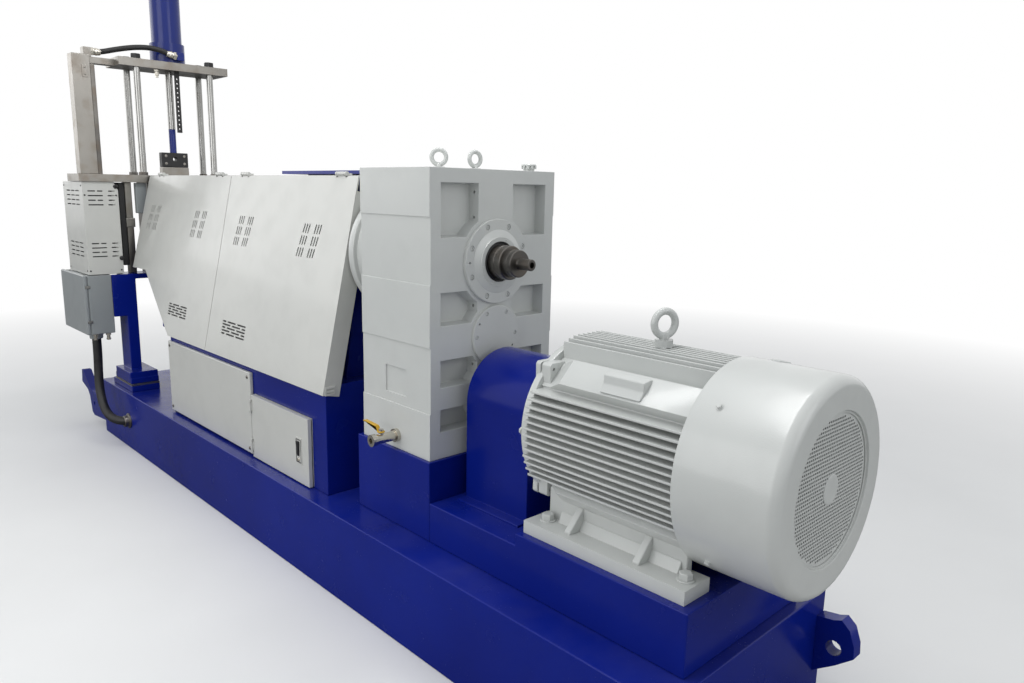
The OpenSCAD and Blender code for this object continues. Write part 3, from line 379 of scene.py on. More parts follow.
# %% [markdown]
# ## Rounding what the frame gives
# No edge of a painted machine is a perfect line: plate is deburred, castings have radii,
# and paint pulls back from a corner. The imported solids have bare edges, so they are
# copied, their loose triangles are merged, flat areas are dissolved to one face, and a
# Bevel modifier rounds every edge over a set angle. The copy then stands for the node.
# Weighted normals keep the big flats flat in the light, beside their round edges. The
# radii are in a table by node. The eyebolts are round already, so they have none.

# %% Selecting, shading and handing over
WELD, FLAT_ANGLE, FACING = 0.00002, math.radians(0.4), 0.9


def open_mesh():
    bpy.ops.object.mode_set(mode="EDIT")


def shut_mesh():
    bpy.ops.object.mode_set(mode="OBJECT")


def pick_all():
    bpy.ops.mesh.select_all(action="SELECT")


def pick_none():
    bpy.ops.mesh.select_all(action="DESELECT")


def extrude(step):
    """Extrudes what is picked in the open mesh, and moves it by a step."""
    bpy.ops.mesh.extrude_region_move(TRANSFORM_OT_translate={"value": step})


def outward():
    """Turns the faces of the open mesh outwards and leaves edit mode."""
    pick_all()
    bpy.ops.mesh.normals_make_consistent(inside=False)
    shut_mesh()


def only(*objects):
    """Selects these objects and no others."""
    bpy.ops.object.select_all(action="DESELECT")
    for thing in objects:
        thing.select_set(True)
    bpy.context.view_layer.objects.active = objects[0]


def use_modifier(piece, kind, **settings):
    """Adds one modifier and applies it at once."""
    only(piece)
    modifier = piece.modifiers.new(kind.title(), kind)
    for name, value in settings.items():
        setattr(modifier, name, value)
    bpy.ops.object.modifier_apply(modifier=modifier.name)
    return piece


def smooth(piece, angle=32):
    """Smooth shading under an angle, with the flats kept flat."""
    only(piece)
    bpy.ops.object.shade_smooth_by_angle(angle=math.radians(angle))
    return use_modifier(piece, "WEIGHTED_NORMAL", keep_sharp=True)


def soften(piece, width, segments=2, angle=30):
    """Rounds the edges over an angle, then shades the piece."""
    use_modifier(piece, "BEVEL", width=width, segments=segments, limit_method="ANGLE",
                 angle_limit=math.radians(angle), use_clamp_overlap=True)
    return smooth(piece)


def settle(piece, body, slot, *nodes):
    """Gives a finished piece its material, the body it rides on and the nodes it stands for."""
    only(piece)
    bpy.ops.object.transform_apply(location=True, rotation=True, scale=True)
    piece.data.materials.clear()
    piece.data.materials.append(finishes[slot])
    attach(piece, body)
    if nodes:
        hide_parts(*nodes)
    return piece


# %% Copies of the frame's nodes
def merged_copy(node, name):
    """A copy of a node's mesh with its triangles joined and its flat areas made one face."""
    piece = frame["nodes"][node].copy()
    piece.data = piece.data.copy()
    piece.name = name
    piece.parent = None
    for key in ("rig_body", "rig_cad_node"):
        del piece[key]
    bpy.context.scene.collection.objects.link(piece)
    only(piece)
    open_mesh()
    pick_all()
    bpy.ops.mesh.remove_doubles(threshold=WELD)
    bpy.ops.mesh.dissolve_limited(angle_limit=FLAT_ANGLE)
    shut_mesh()
    return piece


EDGE_RADII = {
    "base_frame": 0.005, "lifting_lugs": 0.008, "gearbox_pedestal": 0.004, "drive_plinth": 0.004,
    "support_box": 0.004, "side_panels": 0.004, "control_cabinet": 0.0008,
    "thrust_housing": 0.012, "barrel": 0.002, "heater_bands": 0.003, "feed_throat": 0.003,
    "guard_frame": 0.002, "guard_top": 0.0025, "coupling_guard": 0.003, "shaft_coupling": 0.003,
    "motor_end_shield": 0.006, "motor_frame": 0.0018, "motor_feet": 0.006, "motor_terminal_box": 0.008,
    "head_posts": 0.004, "hanger_bars": 0.003, "head_block": 0.003, "head_plates": 0.0025,
    "hydraulic_cylinder": 0.003, "tie_rods": 0.0015, "piston_rod": 0.001,
    "drain_valve": 0.0012, "drain_lever": 0.0012, "eyebolts": 0,
}
for node, radius in EDGE_RADII.items():
    piece = merged_copy(node, node + "_rounded")
    piece = soften(piece, radius, angle=40) if radius else smooth(piece)
    settle(piece, body_of[node], slot_of[node], node)
print("rounded nodes:", len(EDGE_RADII))

# %% [markdown]
# ## A lathe, a saw and a box of bolts
# Most of what is left is turned, drilled or bolted on. A turned part starts as one point
# that is extruded along its profile, and Spin sweeps the profile a full turn. Holes and
# vents are cut by a Boolean modifier with one joined cutter. A bolt is modelled once at
# the origin, and each place gets a copy with its own mesh, joined to one piece.

# %% Opening, choosing and closing a mesh
ORIGIN = (0, 0, 0)
AXES = {"x": Vector((1, 0, 0)), "y": Vector((0, 1, 0)), "z": Vector((0, 0, 1))}
SPOKES = {"x": Vector((0, 0, 1)), "y": Vector((0, 0, 1)), "z": Vector((1, 0, 0))}


def begin(name):
    """Names the new primitive, keeps its place in its mesh, and opens it in edit mode."""
    piece = bpy.context.object
    piece.name = name
    bpy.ops.object.transform_apply(location=True, rotation=True, scale=True)
    open_mesh()
    return piece


def pick_faces(piece, test):
    """In edit mode, selects the faces whose centre and normal pass a test."""
    bpy.ops.mesh.select_mode(type="FACE")
    pick_none()
    shut_mesh()
    for face in piece.data.polygons:
        face.select = bool(test(face.center, face.normal))
    open_mesh()


def pick_side(piece, axis, sign=1):
    """Selects the faces that look along an axis, or against it."""
    pick_faces(piece, lambda centre, normal: sign * normal.dot(AXES[axis]) > FACING)


def close_up(piece):
    """Merges doubles, turns the faces outwards and leaves edit mode."""
    pick_all()
    bpy.ops.mesh.remove_doubles(threshold=WELD)
    outward()
    return piece


# %% Turned parts and boxes
def chain(name, points):
    """One line of edges through the points, left open in edit mode."""
    bpy.ops.mesh.primitive_plane_add(size=0.02, location=points[0])
    piece = begin(name)
    bpy.ops.mesh.select_mode(type="VERT")
    pick_all()
    bpy.ops.mesh.merge(type="CENTER")
    for here, there in zip(points, points[1:]):
        extrude(Vector(there) - Vector(here))
    return piece


def turned(name, centre, axis, profile, sides=64, closed=False):
    """A lathe part: the profile lists (place along the axis, radius)."""
    along, across = AXES[axis], SPOKES[axis]
    points = [Vector(centre) + along * place + across * radius for place, radius in profile]
    piece = chain(name, points + points[:1] if closed else points)
    pick_all()
    bpy.ops.mesh.spin(steps=sides, angle=math.tau, center=centre, axis=along)
    return close_up(piece)


def folded(name, outline, axis, start, end):
    """A flat outline, filled and extruded from start to end along an axis."""
    order = {"x": (1, 2, 0), "y": (0, 2, 1), "z": (0, 1, 2)}[axis]
    points = []
    for first, second in outline:
        point = [0.0, 0.0, 0.0]
        point[order[0]], point[order[1]], point[order[2]] = first, second, start
        points.append(point)
    piece = chain(name, points)
    pick_all()
    bpy.ops.mesh.edge_face_add()
    extrude(AXES[axis] * (end - start))
    return close_up(piece)


def billet(name, low, high):
    """A box between two corners, to be shaped further."""
    low, high = Vector(low), Vector(high)
    bpy.ops.mesh.primitive_cube_add(size=1, location=(low + high) / 2, scale=high - low)
    piece = begin(name)
    shut_mesh()
    return piece


def rod(name, sides, radius, depth, centre, turn=(0, 0, 0)):
    """A plain cylinder with so many sides."""
    bpy.ops.mesh.primitive_cylinder_add(vertices=sides, radius=radius, depth=depth, location=centre,
                                        rotation=turn)
    piece = begin(name)
    shut_mesh()
    return piece


def peg(name, foot, axis, radius, length, sides):
    """A turned cylinder from its foot along an axis, mostly to drill with."""
    return turned(name, foot, axis, [(0, 0), (0, radius), (length, radius), (length, 0)], sides)


# %% Cutting, copying and placing
def discard(piece):
    mesh = piece.data
    bpy.data.objects.remove(piece)
    bpy.data.meshes.remove(mesh)


def cut(piece, cutter):
    """Takes the cutter's shape out of a piece."""
    use_modifier(piece, "BOOLEAN", object=cutter, operation="DIFFERENCE", solver="EXACT")
    discard(cutter)
    return piece


def joined(name, pieces):
    only(*pieces)
    if len(pieces) > 1:
        bpy.ops.object.join()
    pieces[0].name = name
    return pieces[0]


def copies(name, pattern, places):
    """Copies of a pattern at the places, each a matrix, joined to one piece."""
    made = []
    for place in places:
        twin = pattern.copy()
        twin.data = pattern.data.copy()
        twin.data.transform(place)
        bpy.context.scene.collection.objects.link(twin)
        made.append(twin)
    discard(pattern)
    return joined(name, made)


def fasten(name, pattern, places, slot="grey_enamel", body="machine", edge=0):
    """Copies of a small part at its places, shaded or rounded, and settled as one piece."""
    made = copies(name, pattern, places)
    return settle(soften(made, edge) if edge else smooth(made), body, slot)


def lathe(name, centre, axis, profile, slot, *nodes, sides=64, closed=False, body="machine", angle=32):
    """A turned part, shaded and settled at once."""
    return settle(smooth(turned(name, centre, axis, profile, sides, closed), angle), body, slot, *nodes)


def block(name, low, high, edge, segments, slot, *nodes, body="machine"):
    """A box with rounded edges, settled at once."""
    return settle(soften(billet(name, low, high), edge, segments), body, slot, *nodes)


shift = Matrix.Translation


def round_axis(axis, count):
    """The matrices of so many equal steps of a full turn."""
    return [Matrix.Rotation(math.tau * i / count, 4, axis) for i in range(count)]


def at(point, direction=(0, 0, 1), roll=0.0):
    """A matrix that sets a pattern's foot on a point, with its axis in a direction."""
    turn = Vector(direction).to_track_quat("Z", "Y").to_matrix().to_4x4()
    return shift(point) @ turn @ Matrix.Rotation(roll, 4, "Z")


# %% Bolts, screws and slots, each modelled once
def hex_bolt(across, head, washer_r, washer_t):
    """A hexagon head with a chamfered top, on a flat washer."""
    radius = across / 2 / math.cos(math.pi / 6)
    washer = turned("washer", ORIGIN, "z", [(0, 0), (0, washer_r), (washer_t * 0.7, washer_r),
                                            (washer_t, washer_r * 0.95), (washer_t, 0)], 28)
    bolt = rod("hex_bolt", 6, radius, head * 0.86, (0, 0, washer_t + head * 0.43))
    open_mesh()
    pick_side(bolt, "z")
    bpy.ops.mesh.inset(thickness=across * 0.07)
    bpy.ops.transform.translate(value=(0, 0, head * 0.14))
    shut_mesh()
    return joined("hex_bolt", [bolt, washer])


def socket_screw(radius, head):
    """A cap screw: a chamfered round head with a hexagonal socket."""
    socket = rod("socket", 6, radius * 0.52, head, (0, 0, head * 1.05))
    screw = turned("socket_screw", ORIGIN, "z", [(0, 0), (0, radius), (head * 0.85, radius),
                                                 (head, radius * 0.86), (head, 0)], 20)
    return cut(screw, socket)


def dome_screw(radius, height):
    """A low button head with a socket in it."""
    profile = [(0, 0), (0, radius), (height * 0.45, radius * 0.93), (height * 0.85, radius * 0.66),
               (height, radius * 0.40), (height * 0.4, radius * 0.36), (height * 0.4, 0)]
    return turned("dome_screw", ORIGIN, "z", profile, 16)


def slot_cutter(length, width, depth, direction):
    """A cutter for one vent slot with round ends; its length runs along x or z."""
    size = (length, depth, width) if direction == "x" else (width, depth, length)
    cutter = billet("slot", [-s / 2 for s in size], [s / 2 for s in size])
    open_mesh()
    pick_none()
    shut_mesh()
    points = cutter.data.vertices
    for edge in cutter.data.edges:
        start, end = (points[i].co for i in edge.vertices)
        edge.select = abs(start.y - end.y) > depth / 2
    open_mesh()
    bpy.ops.mesh.select_mode(type="EDGE")
    bpy.ops.mesh.bevel(offset=width * 0.46, segments=3)
    shut_mesh()
    return cutter


print("workshop ready")

# %% [markdown]
# ## Gearbox casting
# The case is a stack of five castings. Every second one stands back 4 mm at the sides, so
# its seams show as small steps, while the face towards the motor was filled and painted
# as one. The stack starts as one box, whose top face is extruded from seam to seam and
# resized at each. The pockets between the ribs have a draft, so that the castings came
# out of their moulds: their cutters are boxes with a smaller floor. The round bosses of
# the bearings run through the pockets, so they are taken out of the cutters first.

# %% The stack of sections
GEAR_LEFT, GEAR_FACE, GEAR_SIDE = 0.609, 1.023, 0.296
SEAMS = (0.637, 0.806, 1.039, 1.255, 1.482, 1.645)
SET_BACK = 0.004

case = billet("gearbox_casting", (GEAR_LEFT, -GEAR_SIDE, SEAMS[0]), (GEAR_FACE, GEAR_SIDE, SEAMS[1]))
open_mesh()
narrow = (GEAR_SIDE - SET_BACK) / GEAR_SIDE
for number, (low, high) in enumerate(zip(SEAMS[1:], SEAMS[2:])):
    pick_faces(case, lambda centre, normal: normal.z > FACING and centre.z > low - 0.001)
    extrude(ORIGIN)
    factor = narrow if number % 2 == 0 else 1 / narrow
    bpy.ops.transform.resize(value=(1, factor, 1), center_override=(0, 0, low))
    extrude((0, 0, high - low))
close_up(case)
print("case faces:", len(case.data.polygons))

# %% Pockets with a draft, round the bearing bosses
POCKET_ROWS = ((0.732, 0.816), (0.892, 0.992), (1.110, 1.228), (1.412, 1.598))
POCKET_DEPTH, BAND, BORDER, DRAFT = 0.050, 0.080, 0.046, 0.006
BOSSES = ((1.324, 0.162), (1.057, 0.121), (0.844, 0.112))

pockets = []
for low, high in POCKET_ROWS:
    for side in (-1, 1):
        across = sorted((side * BAND, side * (GEAR_SIDE - BORDER)))
        pocket = billet("pocket", (GEAR_FACE - POCKET_DEPTH, across[0], low),
                        (GEAR_FACE + 0.02, across[1], high))
        open_mesh()
        pick_side(pocket, "x", -1)
        middle = (GEAR_FACE - POCKET_DEPTH, sum(across) / 2, (low + high) / 2)
        factors = (1, 1 - 2 * DRAFT / (across[1] - across[0]), 1 - 2 * DRAFT / (high - low))
        bpy.ops.transform.resize(value=factors, center_override=middle)
        shut_mesh()
        pockets.append(pocket)
cutter = joined("pockets", pockets)
for height, radius in BOSSES:
    boss = turned("boss", (GEAR_FACE, 0, height), "x",
                  [(-0.07, 0), (-0.07, radius + 0.007), (0.03, radius - 0.002), (0.03, 0)], 72)
    cut(cutter, boss)
cut(case, cutter)

holes = []
for low, high in ((-0.310, -0.2855), (0.2855, 0.310)):
    holes.append(billet("plate_recess", (0.755, low, 0.841), (0.881, high, 0.940)))
for height in (1.566, 1.479, 1.168, 0.954):
    for side in (-1, 1):
        place = (0.999, side * 0.081, height)
        holes.append(rod("tapped_hole", 16, 0.0055, 0.03, place, (math.pi / 2, 0, 0)))
cut(case, joined("case_holes", holes))
only(case)
open_mesh()
pick_all()
bpy.ops.mesh.remove_doubles(threshold=0.0012)
shut_mesh()
soften(case, 0.0045, 3, 28)
settle(case, "machine", "grey_enamel", "gearbox_base_section", "gearbox_low_section",
       "gearbox_middle_section", "gearbox_upper_section", "gearbox_top_section")
print("casting faces:", len(case.data.polygons))

# %% [markdown]
# ### Bearing covers
# The output flange has a flat bolted rim, a cone, and an inner ring round the seal. Its
# eight cap screws sit in counterbores, with two jacking holes between them. The middle
# cover is a plain disc with six screws. Both are lathe work, drilled by one cutter.

# %% Drilled flanges with their screws
def ring_of(count, radius, x, height, start=0.0):
    """Places round an axis along x, each a point on the circle."""
    turns = [math.radians(start + 360 * i / count) for i in range(count)]
    return [Vector((x, radius * math.cos(a), height + radius * math.sin(a))) for a in turns]


def drilled(flange, points, radius, depth):
    """Drills a flange along x at the points, from just outside its face."""
    profile = [(-depth, 0), (-depth, radius), (0.005, radius), (0.005, 0)]
    drill = turned("drill", ORIGIN, "z", profile, 20)
    return cut(flange, copies("drills", drill, [at(point, (1, 0, 0)) for point in points]))


def cap_screws(name, points, sunk, radius, head):
    """Socket screws in their counterbores, each turned a little further than the last."""
    places = [at(p - Vector((sunk, 0, 0)), AXES["x"], i * 0.7) for i, p in enumerate(points)]
    return fasten(name, socket_screw(radius, head), places)


OUTPUT_Z, MIDDLE_Z, INPUT_Z = 1.324, 1.057, 0.844
FLANGE_T, DISC_T = 0.0140, 0.0120
profile = [(0, 0.063), (0, 0.150), (0.0125, 0.150), (FLANGE_T, 0.1485), (FLANGE_T, 0.1130),
           (0.0165, 0.1095), (0.0235, 0.0900), (0.0235, 0.0885), (0.0265, 0.0870), (0.0265, 0.0720),
           (0.0180, 0.0720), (0.0180, 0.0630)]
flange = turned("output_flange", (GEAR_FACE, 0, OUTPUT_Z), "x", profile, 96, closed=True)
face_x = GEAR_FACE + FLANGE_T
bolts = ring_of(8, 0.131, face_x, OUTPUT_Z, 22.5)
drilled(flange, bolts, 0.0098, 0.0085)
drilled(flange, ring_of(2, 0.131, face_x, OUTPUT_Z, 0), 0.0045, 0.012)
smooth(flange, 24)
settle(flange, "machine", "grey_enamel", "bearing_covers")
cap_screws("output_flange_screws", bolts, 0.0083, 0.0080, 0.0075)
inner = ring_of(6, 0.0795, GEAR_FACE + 0.0262, OUTPUT_Z, 10)
fasten("seal_ring_screws", dome_screw(0.0042, 0.0022), [at(p, AXES["x"]) for p in inner])
lathe("shaft_seal", (GEAR_FACE, 0, OUTPUT_Z), "x",
      [(0.012, 0.0608), (0.012, 0.0716), (0.0205, 0.0716), (0.0215, 0.0690), (0.0205, 0.0655),
       (0.0225, 0.0630), (0.0235, 0.0612)], "handle_black", sides=72, closed=True)

profile = [(0, 0), (0, 0.109), (0.0105, 0.109), (DISC_T, 0.1072), (DISC_T, 0)]
disc = turned("middle_cover", (GEAR_FACE, 0, MIDDLE_Z), "x", profile, 80)
cover_x = GEAR_FACE + DISC_T
bolts = ring_of(6, 0.0935, cover_x, MIDDLE_Z, 0)
drilled(disc, bolts, 0.0075, 0.006)
drilled(disc, ring_of(2, 0.0935, cover_x, MIDDLE_Z, 150), 0.0040, 0.010)
settle(smooth(disc, 24), "machine", "grey_enamel", "bearing_covers")
cap_screws("middle_cover_screws", bolts, 0.0058, 0.0062, 0.0050)
lathe("input_cover", (GEAR_FACE, 0, INPUT_Z), "x",
      [(0, 0.0435), (0, 0.100), (0.0240, 0.100), (0.0260, 0.098), (0.0260, 0.0435)],
      "grey_enamel", "bearing_covers", sides=72, closed=True, angle=24)
print("covers done, flange radius 0.150")

# %% [markdown]
# ### Output shaft and breather
# The shaft's journal is oiled and dark. A step takes it down to a browned end, and the
# last stub takes the union of the cooling water. A vented cap stands on the case's top.

# %% Shaft, stub and breather
lathe("output_shaft_turned", (0, 0, OUTPUT_Z), "x",
      [(0.873, 0), (0.873, 0.060), (1.076, 0.060), (1.0775, 0.0588), (1.0815, 0.0588), (1.083, 0.060),
       (1.1040, 0.060), (1.1070, 0.057), (1.1070, 0.048), (1.1270, 0.048), (1.1280, 0.0472),
       (1.1310, 0.0472), (1.1320, 0.048), (1.1465, 0.048), (1.1490, 0.0455), (1.1490, 0.0200),
       (1.1560, 0.0180), (1.1600, 0.0180), (1.1620, 0.0200), (1.2068, 0.0200), (1.2090, 0.0178),
       (1.2090, 0.0105), (1.1850, 0.0105), (1.1850, 0)],
      "dark_steel", "output_shaft", sides=72, body="shaft", angle=24)

CAP_X, CAP_Y, SLITS = 0.965, 0.216, 10
cap = turned("breather_cap", (CAP_X, CAP_Y, 1.645), "z",
             [(0, 0), (0, 0.021), (0.009, 0.021), (0.009, 0.028), (0.0235, 0.028), (0.0260, 0.0255),
              (0.0260, 0)], 48)
slit = billet("slit", (-0.007, -0.004, -0.0045), (0.007, 0.004, 0.009))
places = [shift((CAP_X, CAP_Y, 1.656)) @ turn @ shift((0.030, 0, 0)) for turn in round_axis("Z", SLITS)]
cut(cap, copies("slits", slit, places))
settle(smooth(cap), "machine", "grey_enamel")
print("shaft and breather done")

# %% [markdown]
# ## Fan cowl
# The fan cowl is a rolled drum with a rounded end. Its wall is 5 mm thick in the model,
# so the fan behind the grille gets some light from the ring gap. The drum is one closed
# profile, spun round the motor's axis. Its edge is a quarter round, from sines and cosines.

# %% The drum
MOTOR_Z, FRAME_END, DRUM_R, DRUM_LENGTH, EDGE = 0.844, 2.018, 0.297, 0.290, 0.030
HOLE_R, WALL = 0.207, 0.005


def quarter(radius, steps=7):
    """Points of the drum's rounded edge, from its side to its end face."""
    turns = [math.pi / 2 * i / steps for i in range(steps + 1)]
    return [(DRUM_LENGTH - EDGE + radius * math.sin(a), DRUM_R - EDGE + radius * math.cos(a))
            for a in turns]


profile = [(0, DRUM_R)] + quarter(EDGE)
profile += [(DRUM_LENGTH - back, HOLE_R + out) for back, out in (
    (0, 0.003), (0.001, 0.001), (0.003, 0), (0.007, 0), (0.007, -0.006), (0.0095, -0.006))]
profile += [(DRUM_LENGTH - 0.0095, DRUM_R - EDGE)]
profile += list(reversed(quarter(EDGE - WALL)[:-2])) + [(0, DRUM_R - WALL)]
cowl = lathe("fan_cowl", (FRAME_END, 0, MOTOR_Z), "x", profile, "grey_enamel", "motor_fan_cowl",
             sides=128, closed=True, angle=30)
print("drum faces:", len(cowl.data.polygons))

# %% [markdown]
# ### Grille
# The grille is perforated sheet: round holes of 6.6 mm at a pitch of 10 mm. A grid gives the
# cells. Each cell is inset, the corners of the inner square are cut off to an octagon, and
# the octagons are deleted. A border and a plain hub in the middle keep their metal.

# %% Perforated sheet
PITCH, CELLS, INSET = 0.010, 42, 0.0017
HUB_R, HOLED_R = 0.040, 0.193
sheet_x = FRAME_END + DRUM_LENGTH - 0.0115
bpy.ops.mesh.primitive_grid_add(x_subdivisions=CELLS, y_subdivisions=CELLS, size=PITCH * CELLS,
                                location=(sheet_x, 0, MOTOR_Z), rotation=(0, math.pi / 2, 0))
grille = begin("fan_grille")


def off_axis(point):
    return math.hypot(point.y, point.z - MOTOR_Z)


pick_faces(grille, lambda centre, normal: off_axis(centre) > HOLE_R + 0.001)
bpy.ops.mesh.delete(type="FACE")
pick_faces(grille, lambda centre, normal: HUB_R < off_axis(centre) < HOLED_R)
bpy.ops.mesh.inset(thickness=INSET, use_individual=True)
bpy.ops.mesh.bevel(offset=INSET, segments=1, affect="VERTICES")
pick_none()
bpy.ops.mesh.select_face_by_sides(number=8, type="EQUAL")
bpy.ops.mesh.delete(type="FACE")
shut_mesh()
use_modifier(grille, "SOLIDIFY", thickness=0.0015, offset=0)
settle(grille, "machine", "grey_enamel")
print("grille faces:", len(grille.data.polygons))

lathe("grille_hub", (sheet_x, 0, MOTOR_Z), "x",
      [(-0.001, 0), (-0.001, HUB_R), (0.0022, HUB_R), (0.0035, 0.0375), (0.0035, 0.030),
       (0.0028, 0.0285), (0.0028, 0)], "grey_enamel", sides=48)

# %% Fan wheel and black shade disc behind the grille
BLADES = 9
# The fan is black, and its back disc is widened to nearly the drum's inside, so the grille's holes show
# black: painted shade there as well as the fan itself.
fan_and_shade_disc = turned("fan_with_shade_disc", (2.215, 0, MOTOR_Z), "x",
               [(-0.068, 0), (-0.068, 0.268), (-0.064, 0.270), (-0.060, 0.268), (-0.058, 0.110),
                (0.000, 0.100), (0.018, 0.070), (0.018, 0)], 48)
blade = billet("fan_blade", (2.150, -0.003, 0.085), (2.222, 0.003, 0.262))
open_mesh()
pick_side(blade, "z")
bpy.ops.transform.resize(value=(1.25, 1, 1), center_override=(2.150, 0, 0.262))
shut_mesh()
blades = copies("fan_blades", blade, [shift((0, 0, MOTOR_Z)) @ turn
                                      for turn in round_axis("X", BLADES)])
settle(soften(joined("fan_with_shade_disc", [fan_and_shade_disc, blades]), 0.001), "machine", "handle_black")
print("fan done")

# %% [markdown]
# ### Bolts and plug of the motor
# Four bolts hold the drum to the frame. A low plug closes the greasing hole near its top.
# The helper gives a place on the motor's outside by its angle over the operator's side.

# %% Places round the motor
def on_motor(x, degrees, radius):
    """A matrix at a place round the motor: x along it, z outward, y round it."""
    turn = Matrix.Rotation(math.radians(90 - degrees), 4, "X")
    return shift((x, 0, MOTOR_Z)) @ turn @ shift((0, 0, radius))


places = [on_motor(2.090, angle, DRUM_R - 0.0005) for angle in (45, -44, 135, 224)]
fasten("cowl_bolts", hex_bolt(0.013, 0.007, 0.011, 0.0018), places)
plug = turned("grease_plug", ORIGIN, "z", [(-0.004, 0), (-0.004, 0.026), (0.002, 0.026),
                                           (0.0042, 0.022), (0.0046, 0.012), (0.0048, 0)], 40)
fasten("grease_plug", plug, [on_motor(2.101, 103, DRUM_R)])

# %% [markdown]
# ### Lugs and plate pads
# Near the shield, each corner of the frame is cut back to a valley. A cast lug stands in
# it, with an ear of the shield before it and a tapped hole in its end. On the flat band a
# stepped pad, made for a nameplate, stands upright. It stays bare. Both are outlines drawn
# across the motor and pulled along it, and all four corners use the same numbers.

# %% Valleys, lugs and ears
notch = folded("notch", [(-0.020, -0.040), (-0.020, 0.040), (0.116, 0.040), (0.110, -0.003),
                         (0.052, -0.040)], "y", -0.047, 0.047)
valleys = copies("notches", notch, [on_motor(1.455, angle, 0.289) for angle in (45, -45, 135, 225)])
cut(bpy.data.objects["motor_frame_rounded"], valleys)

LUG = [(0.196, 0.146), (0.200, 0.150), (0.2015, 0.207), (0.194, 0.2145), (0.136, 0.2145),
       (0.136, 0.150)]
PAD = [(0.170, 0.225), (0.182, 0.2315), (0.215, 0.226), (0.217, 0.200), (0.2345, 0.178),
       (0.205, 0.180)]


def across(name, outline, side, up, start, end):
    """An outline in one quarter round the motor's axis, pulled along it."""
    return folded(name, [(side * y, MOTOR_Z + up * z) for y, z in outline], "x", start, end)


lugs = []
for side, up in ((-1, 1), (-1, -1), (1, 1), (1, -1)):
    lug = across("lug", LUG, side, up, 1.4625, 1.500)
    place = (1.500, side * 0.185, MOTOR_Z + up * 0.195)
    hole = rod("lug_hole", 16, 0.0042, 0.04, place, (0, math.pi / 2, 0))
    lugs += [cut(lug, hole), across("ear", LUG, side, up, 1.436, 1.4565)]
settle(soften(joined("shield_lugs", lugs), 0.003, 2, 30), "machine", "grey_enamel")
pads = [across("pad", PAD, side, 1, 1.719, 1.861) for side in (-1, 1)]
settle(soften(joined("plate_pads", pads), 0.0035, 3, 20), "machine", "grey_enamel")

# %% Bolts on the feet and the shield's rim
feet = [(x, side * 0.225, 0.570) for x in (1.530, 2.035) for side in (-1, 1)]
places = [at(p, AXES["z"], 0.4 * i) for i, p in enumerate(feet)]
fasten("foot_bolts", hex_bolt(0.034, 0.019, 0.025, 0.004), places, edge=0.0012)
rim = ring_of(8, 0.2545, 1.443, MOTOR_Z, 0)
fasten("shield_bolts", hex_bolt(0.019, 0.010, 0.014, 0.002), [at(p, (-1, 0, 0)) for p in rim])
print("motor bolts:", len(feet) + len(rim) + 4)

# %% [markdown]
# ## Sheet covers with their vents
# The covers over the barrel are folded sheet that leans back, hinged at the top. Air
# goes in through slots that a punch made in groups: leaning columns above, and rows of
# dashes below. The slots run with the sheet, so they are placed on its slope, by their
# distance down from the fold. One joined cutter punches a whole cover at once, after its
# edges are rounded, because a bevel would also round every slot.

# %% Vent places on the slope
SLOPE = shift((0, -0.195, 1.620)) @ Matrix.Rotation(math.radians(-12.06), 4, "X")
MIRROR = Matrix.Scale(-1, 4, (0, 1, 0))
LEAN = 0.2586


def leaning_slots(start_x, start_s):
    """Two columns of three rows of three slots, which lean with the covers' seam."""
    places, leaned = [], Matrix.Rotation(math.atan(LEAN), 4, "Y")
    for row in range(3):
        down = start_s + 0.0215 + row * 0.0506
        for column in range(2):
            for number in range(3):
                x = start_x + column * 0.0925 + number * 0.020 - (down - start_s) * LEAN
                places.append(SLOPE @ shift((x, 0, -down)) @ leaned)
    return places


def dashes(start_x, start_s, pitch):
    """Five rows of long and half slots, set like bricks; returns (length, place)."""
    even = [(0, 0.040), (0.052, 0.142), (0.156, 0.246)]
    odd = [(0, 0.090), (0.103, 0.193), (0.206, 0.246)]
    made = []
    for row in range(5):
        for start, end in (odd if row % 2 else even):
            centre = (start_x + (start + end) / 2, 0, -(start_s + pitch * row))
            made.append((end - start, SLOPE @ shift(centre)))
    return made


def groups_of(count, places):
    return [places[start:start + count] for start in range(0, len(places), count)]


def shade_behind_slots(uprights, rows):
    """Thin black sheets inside the cover, each behind one group of slots: painted shade for the dark
    inside.
    """
    made, edge = [], 0.045
    for group in groups_of(18, uprights) + groups_of(15, [place for size, place in rows]):
        points = [SLOPE.inverted() @ place.translation for place in group]
        low = [min(p[i] for p in points) - edge for i in (0, 2)]
        high = [max(p[i] for p in points) + edge for i in (0, 2)]
        shade_sheet = billet("shade_sheet", (low[0], 0.0062, low[1]), (high[0], 0.0085, high[1]))
        shade_sheet.data.transform(SLOPE)
        made.append(shade_sheet)
    return joined("slot_shade_sheets", made)


def punch(uprights, rows):
    """The cutter for all the slots of one cover."""
    cutters = [copies("uprights", slot_cutter(0.043, 0.0100, 0.08, "z"), uprights)]
    for length in (0.040, 0.090):
        places = [place for size, place in rows if abs(size - length) < 0.001]
        cutters.append(copies("dashes", slot_cutter(length, 0.0082, 0.08, "x"), places))
    return joined("punch", cutters)


def mirror(piece):
    """Puts a piece on the rear side, with its faces outwards again."""
    piece.data.transform(MIRROR)
    only(piece)
    open_mesh()
    outward()


# %% Front and rear covers
LEFT_UP = leaning_slots(-1.674, 0.174) + leaning_slots(-1.0453, 0.185)
RIGHT_UP = leaning_slots(-0.5163, 0.193) + leaning_slots(0.100, 0.2025)
LEFT_ROWS, RIGHT_ROWS = dashes(-1.225, 0.6985, 0.0139), dashes(-0.537, 0.702, 0.0145)

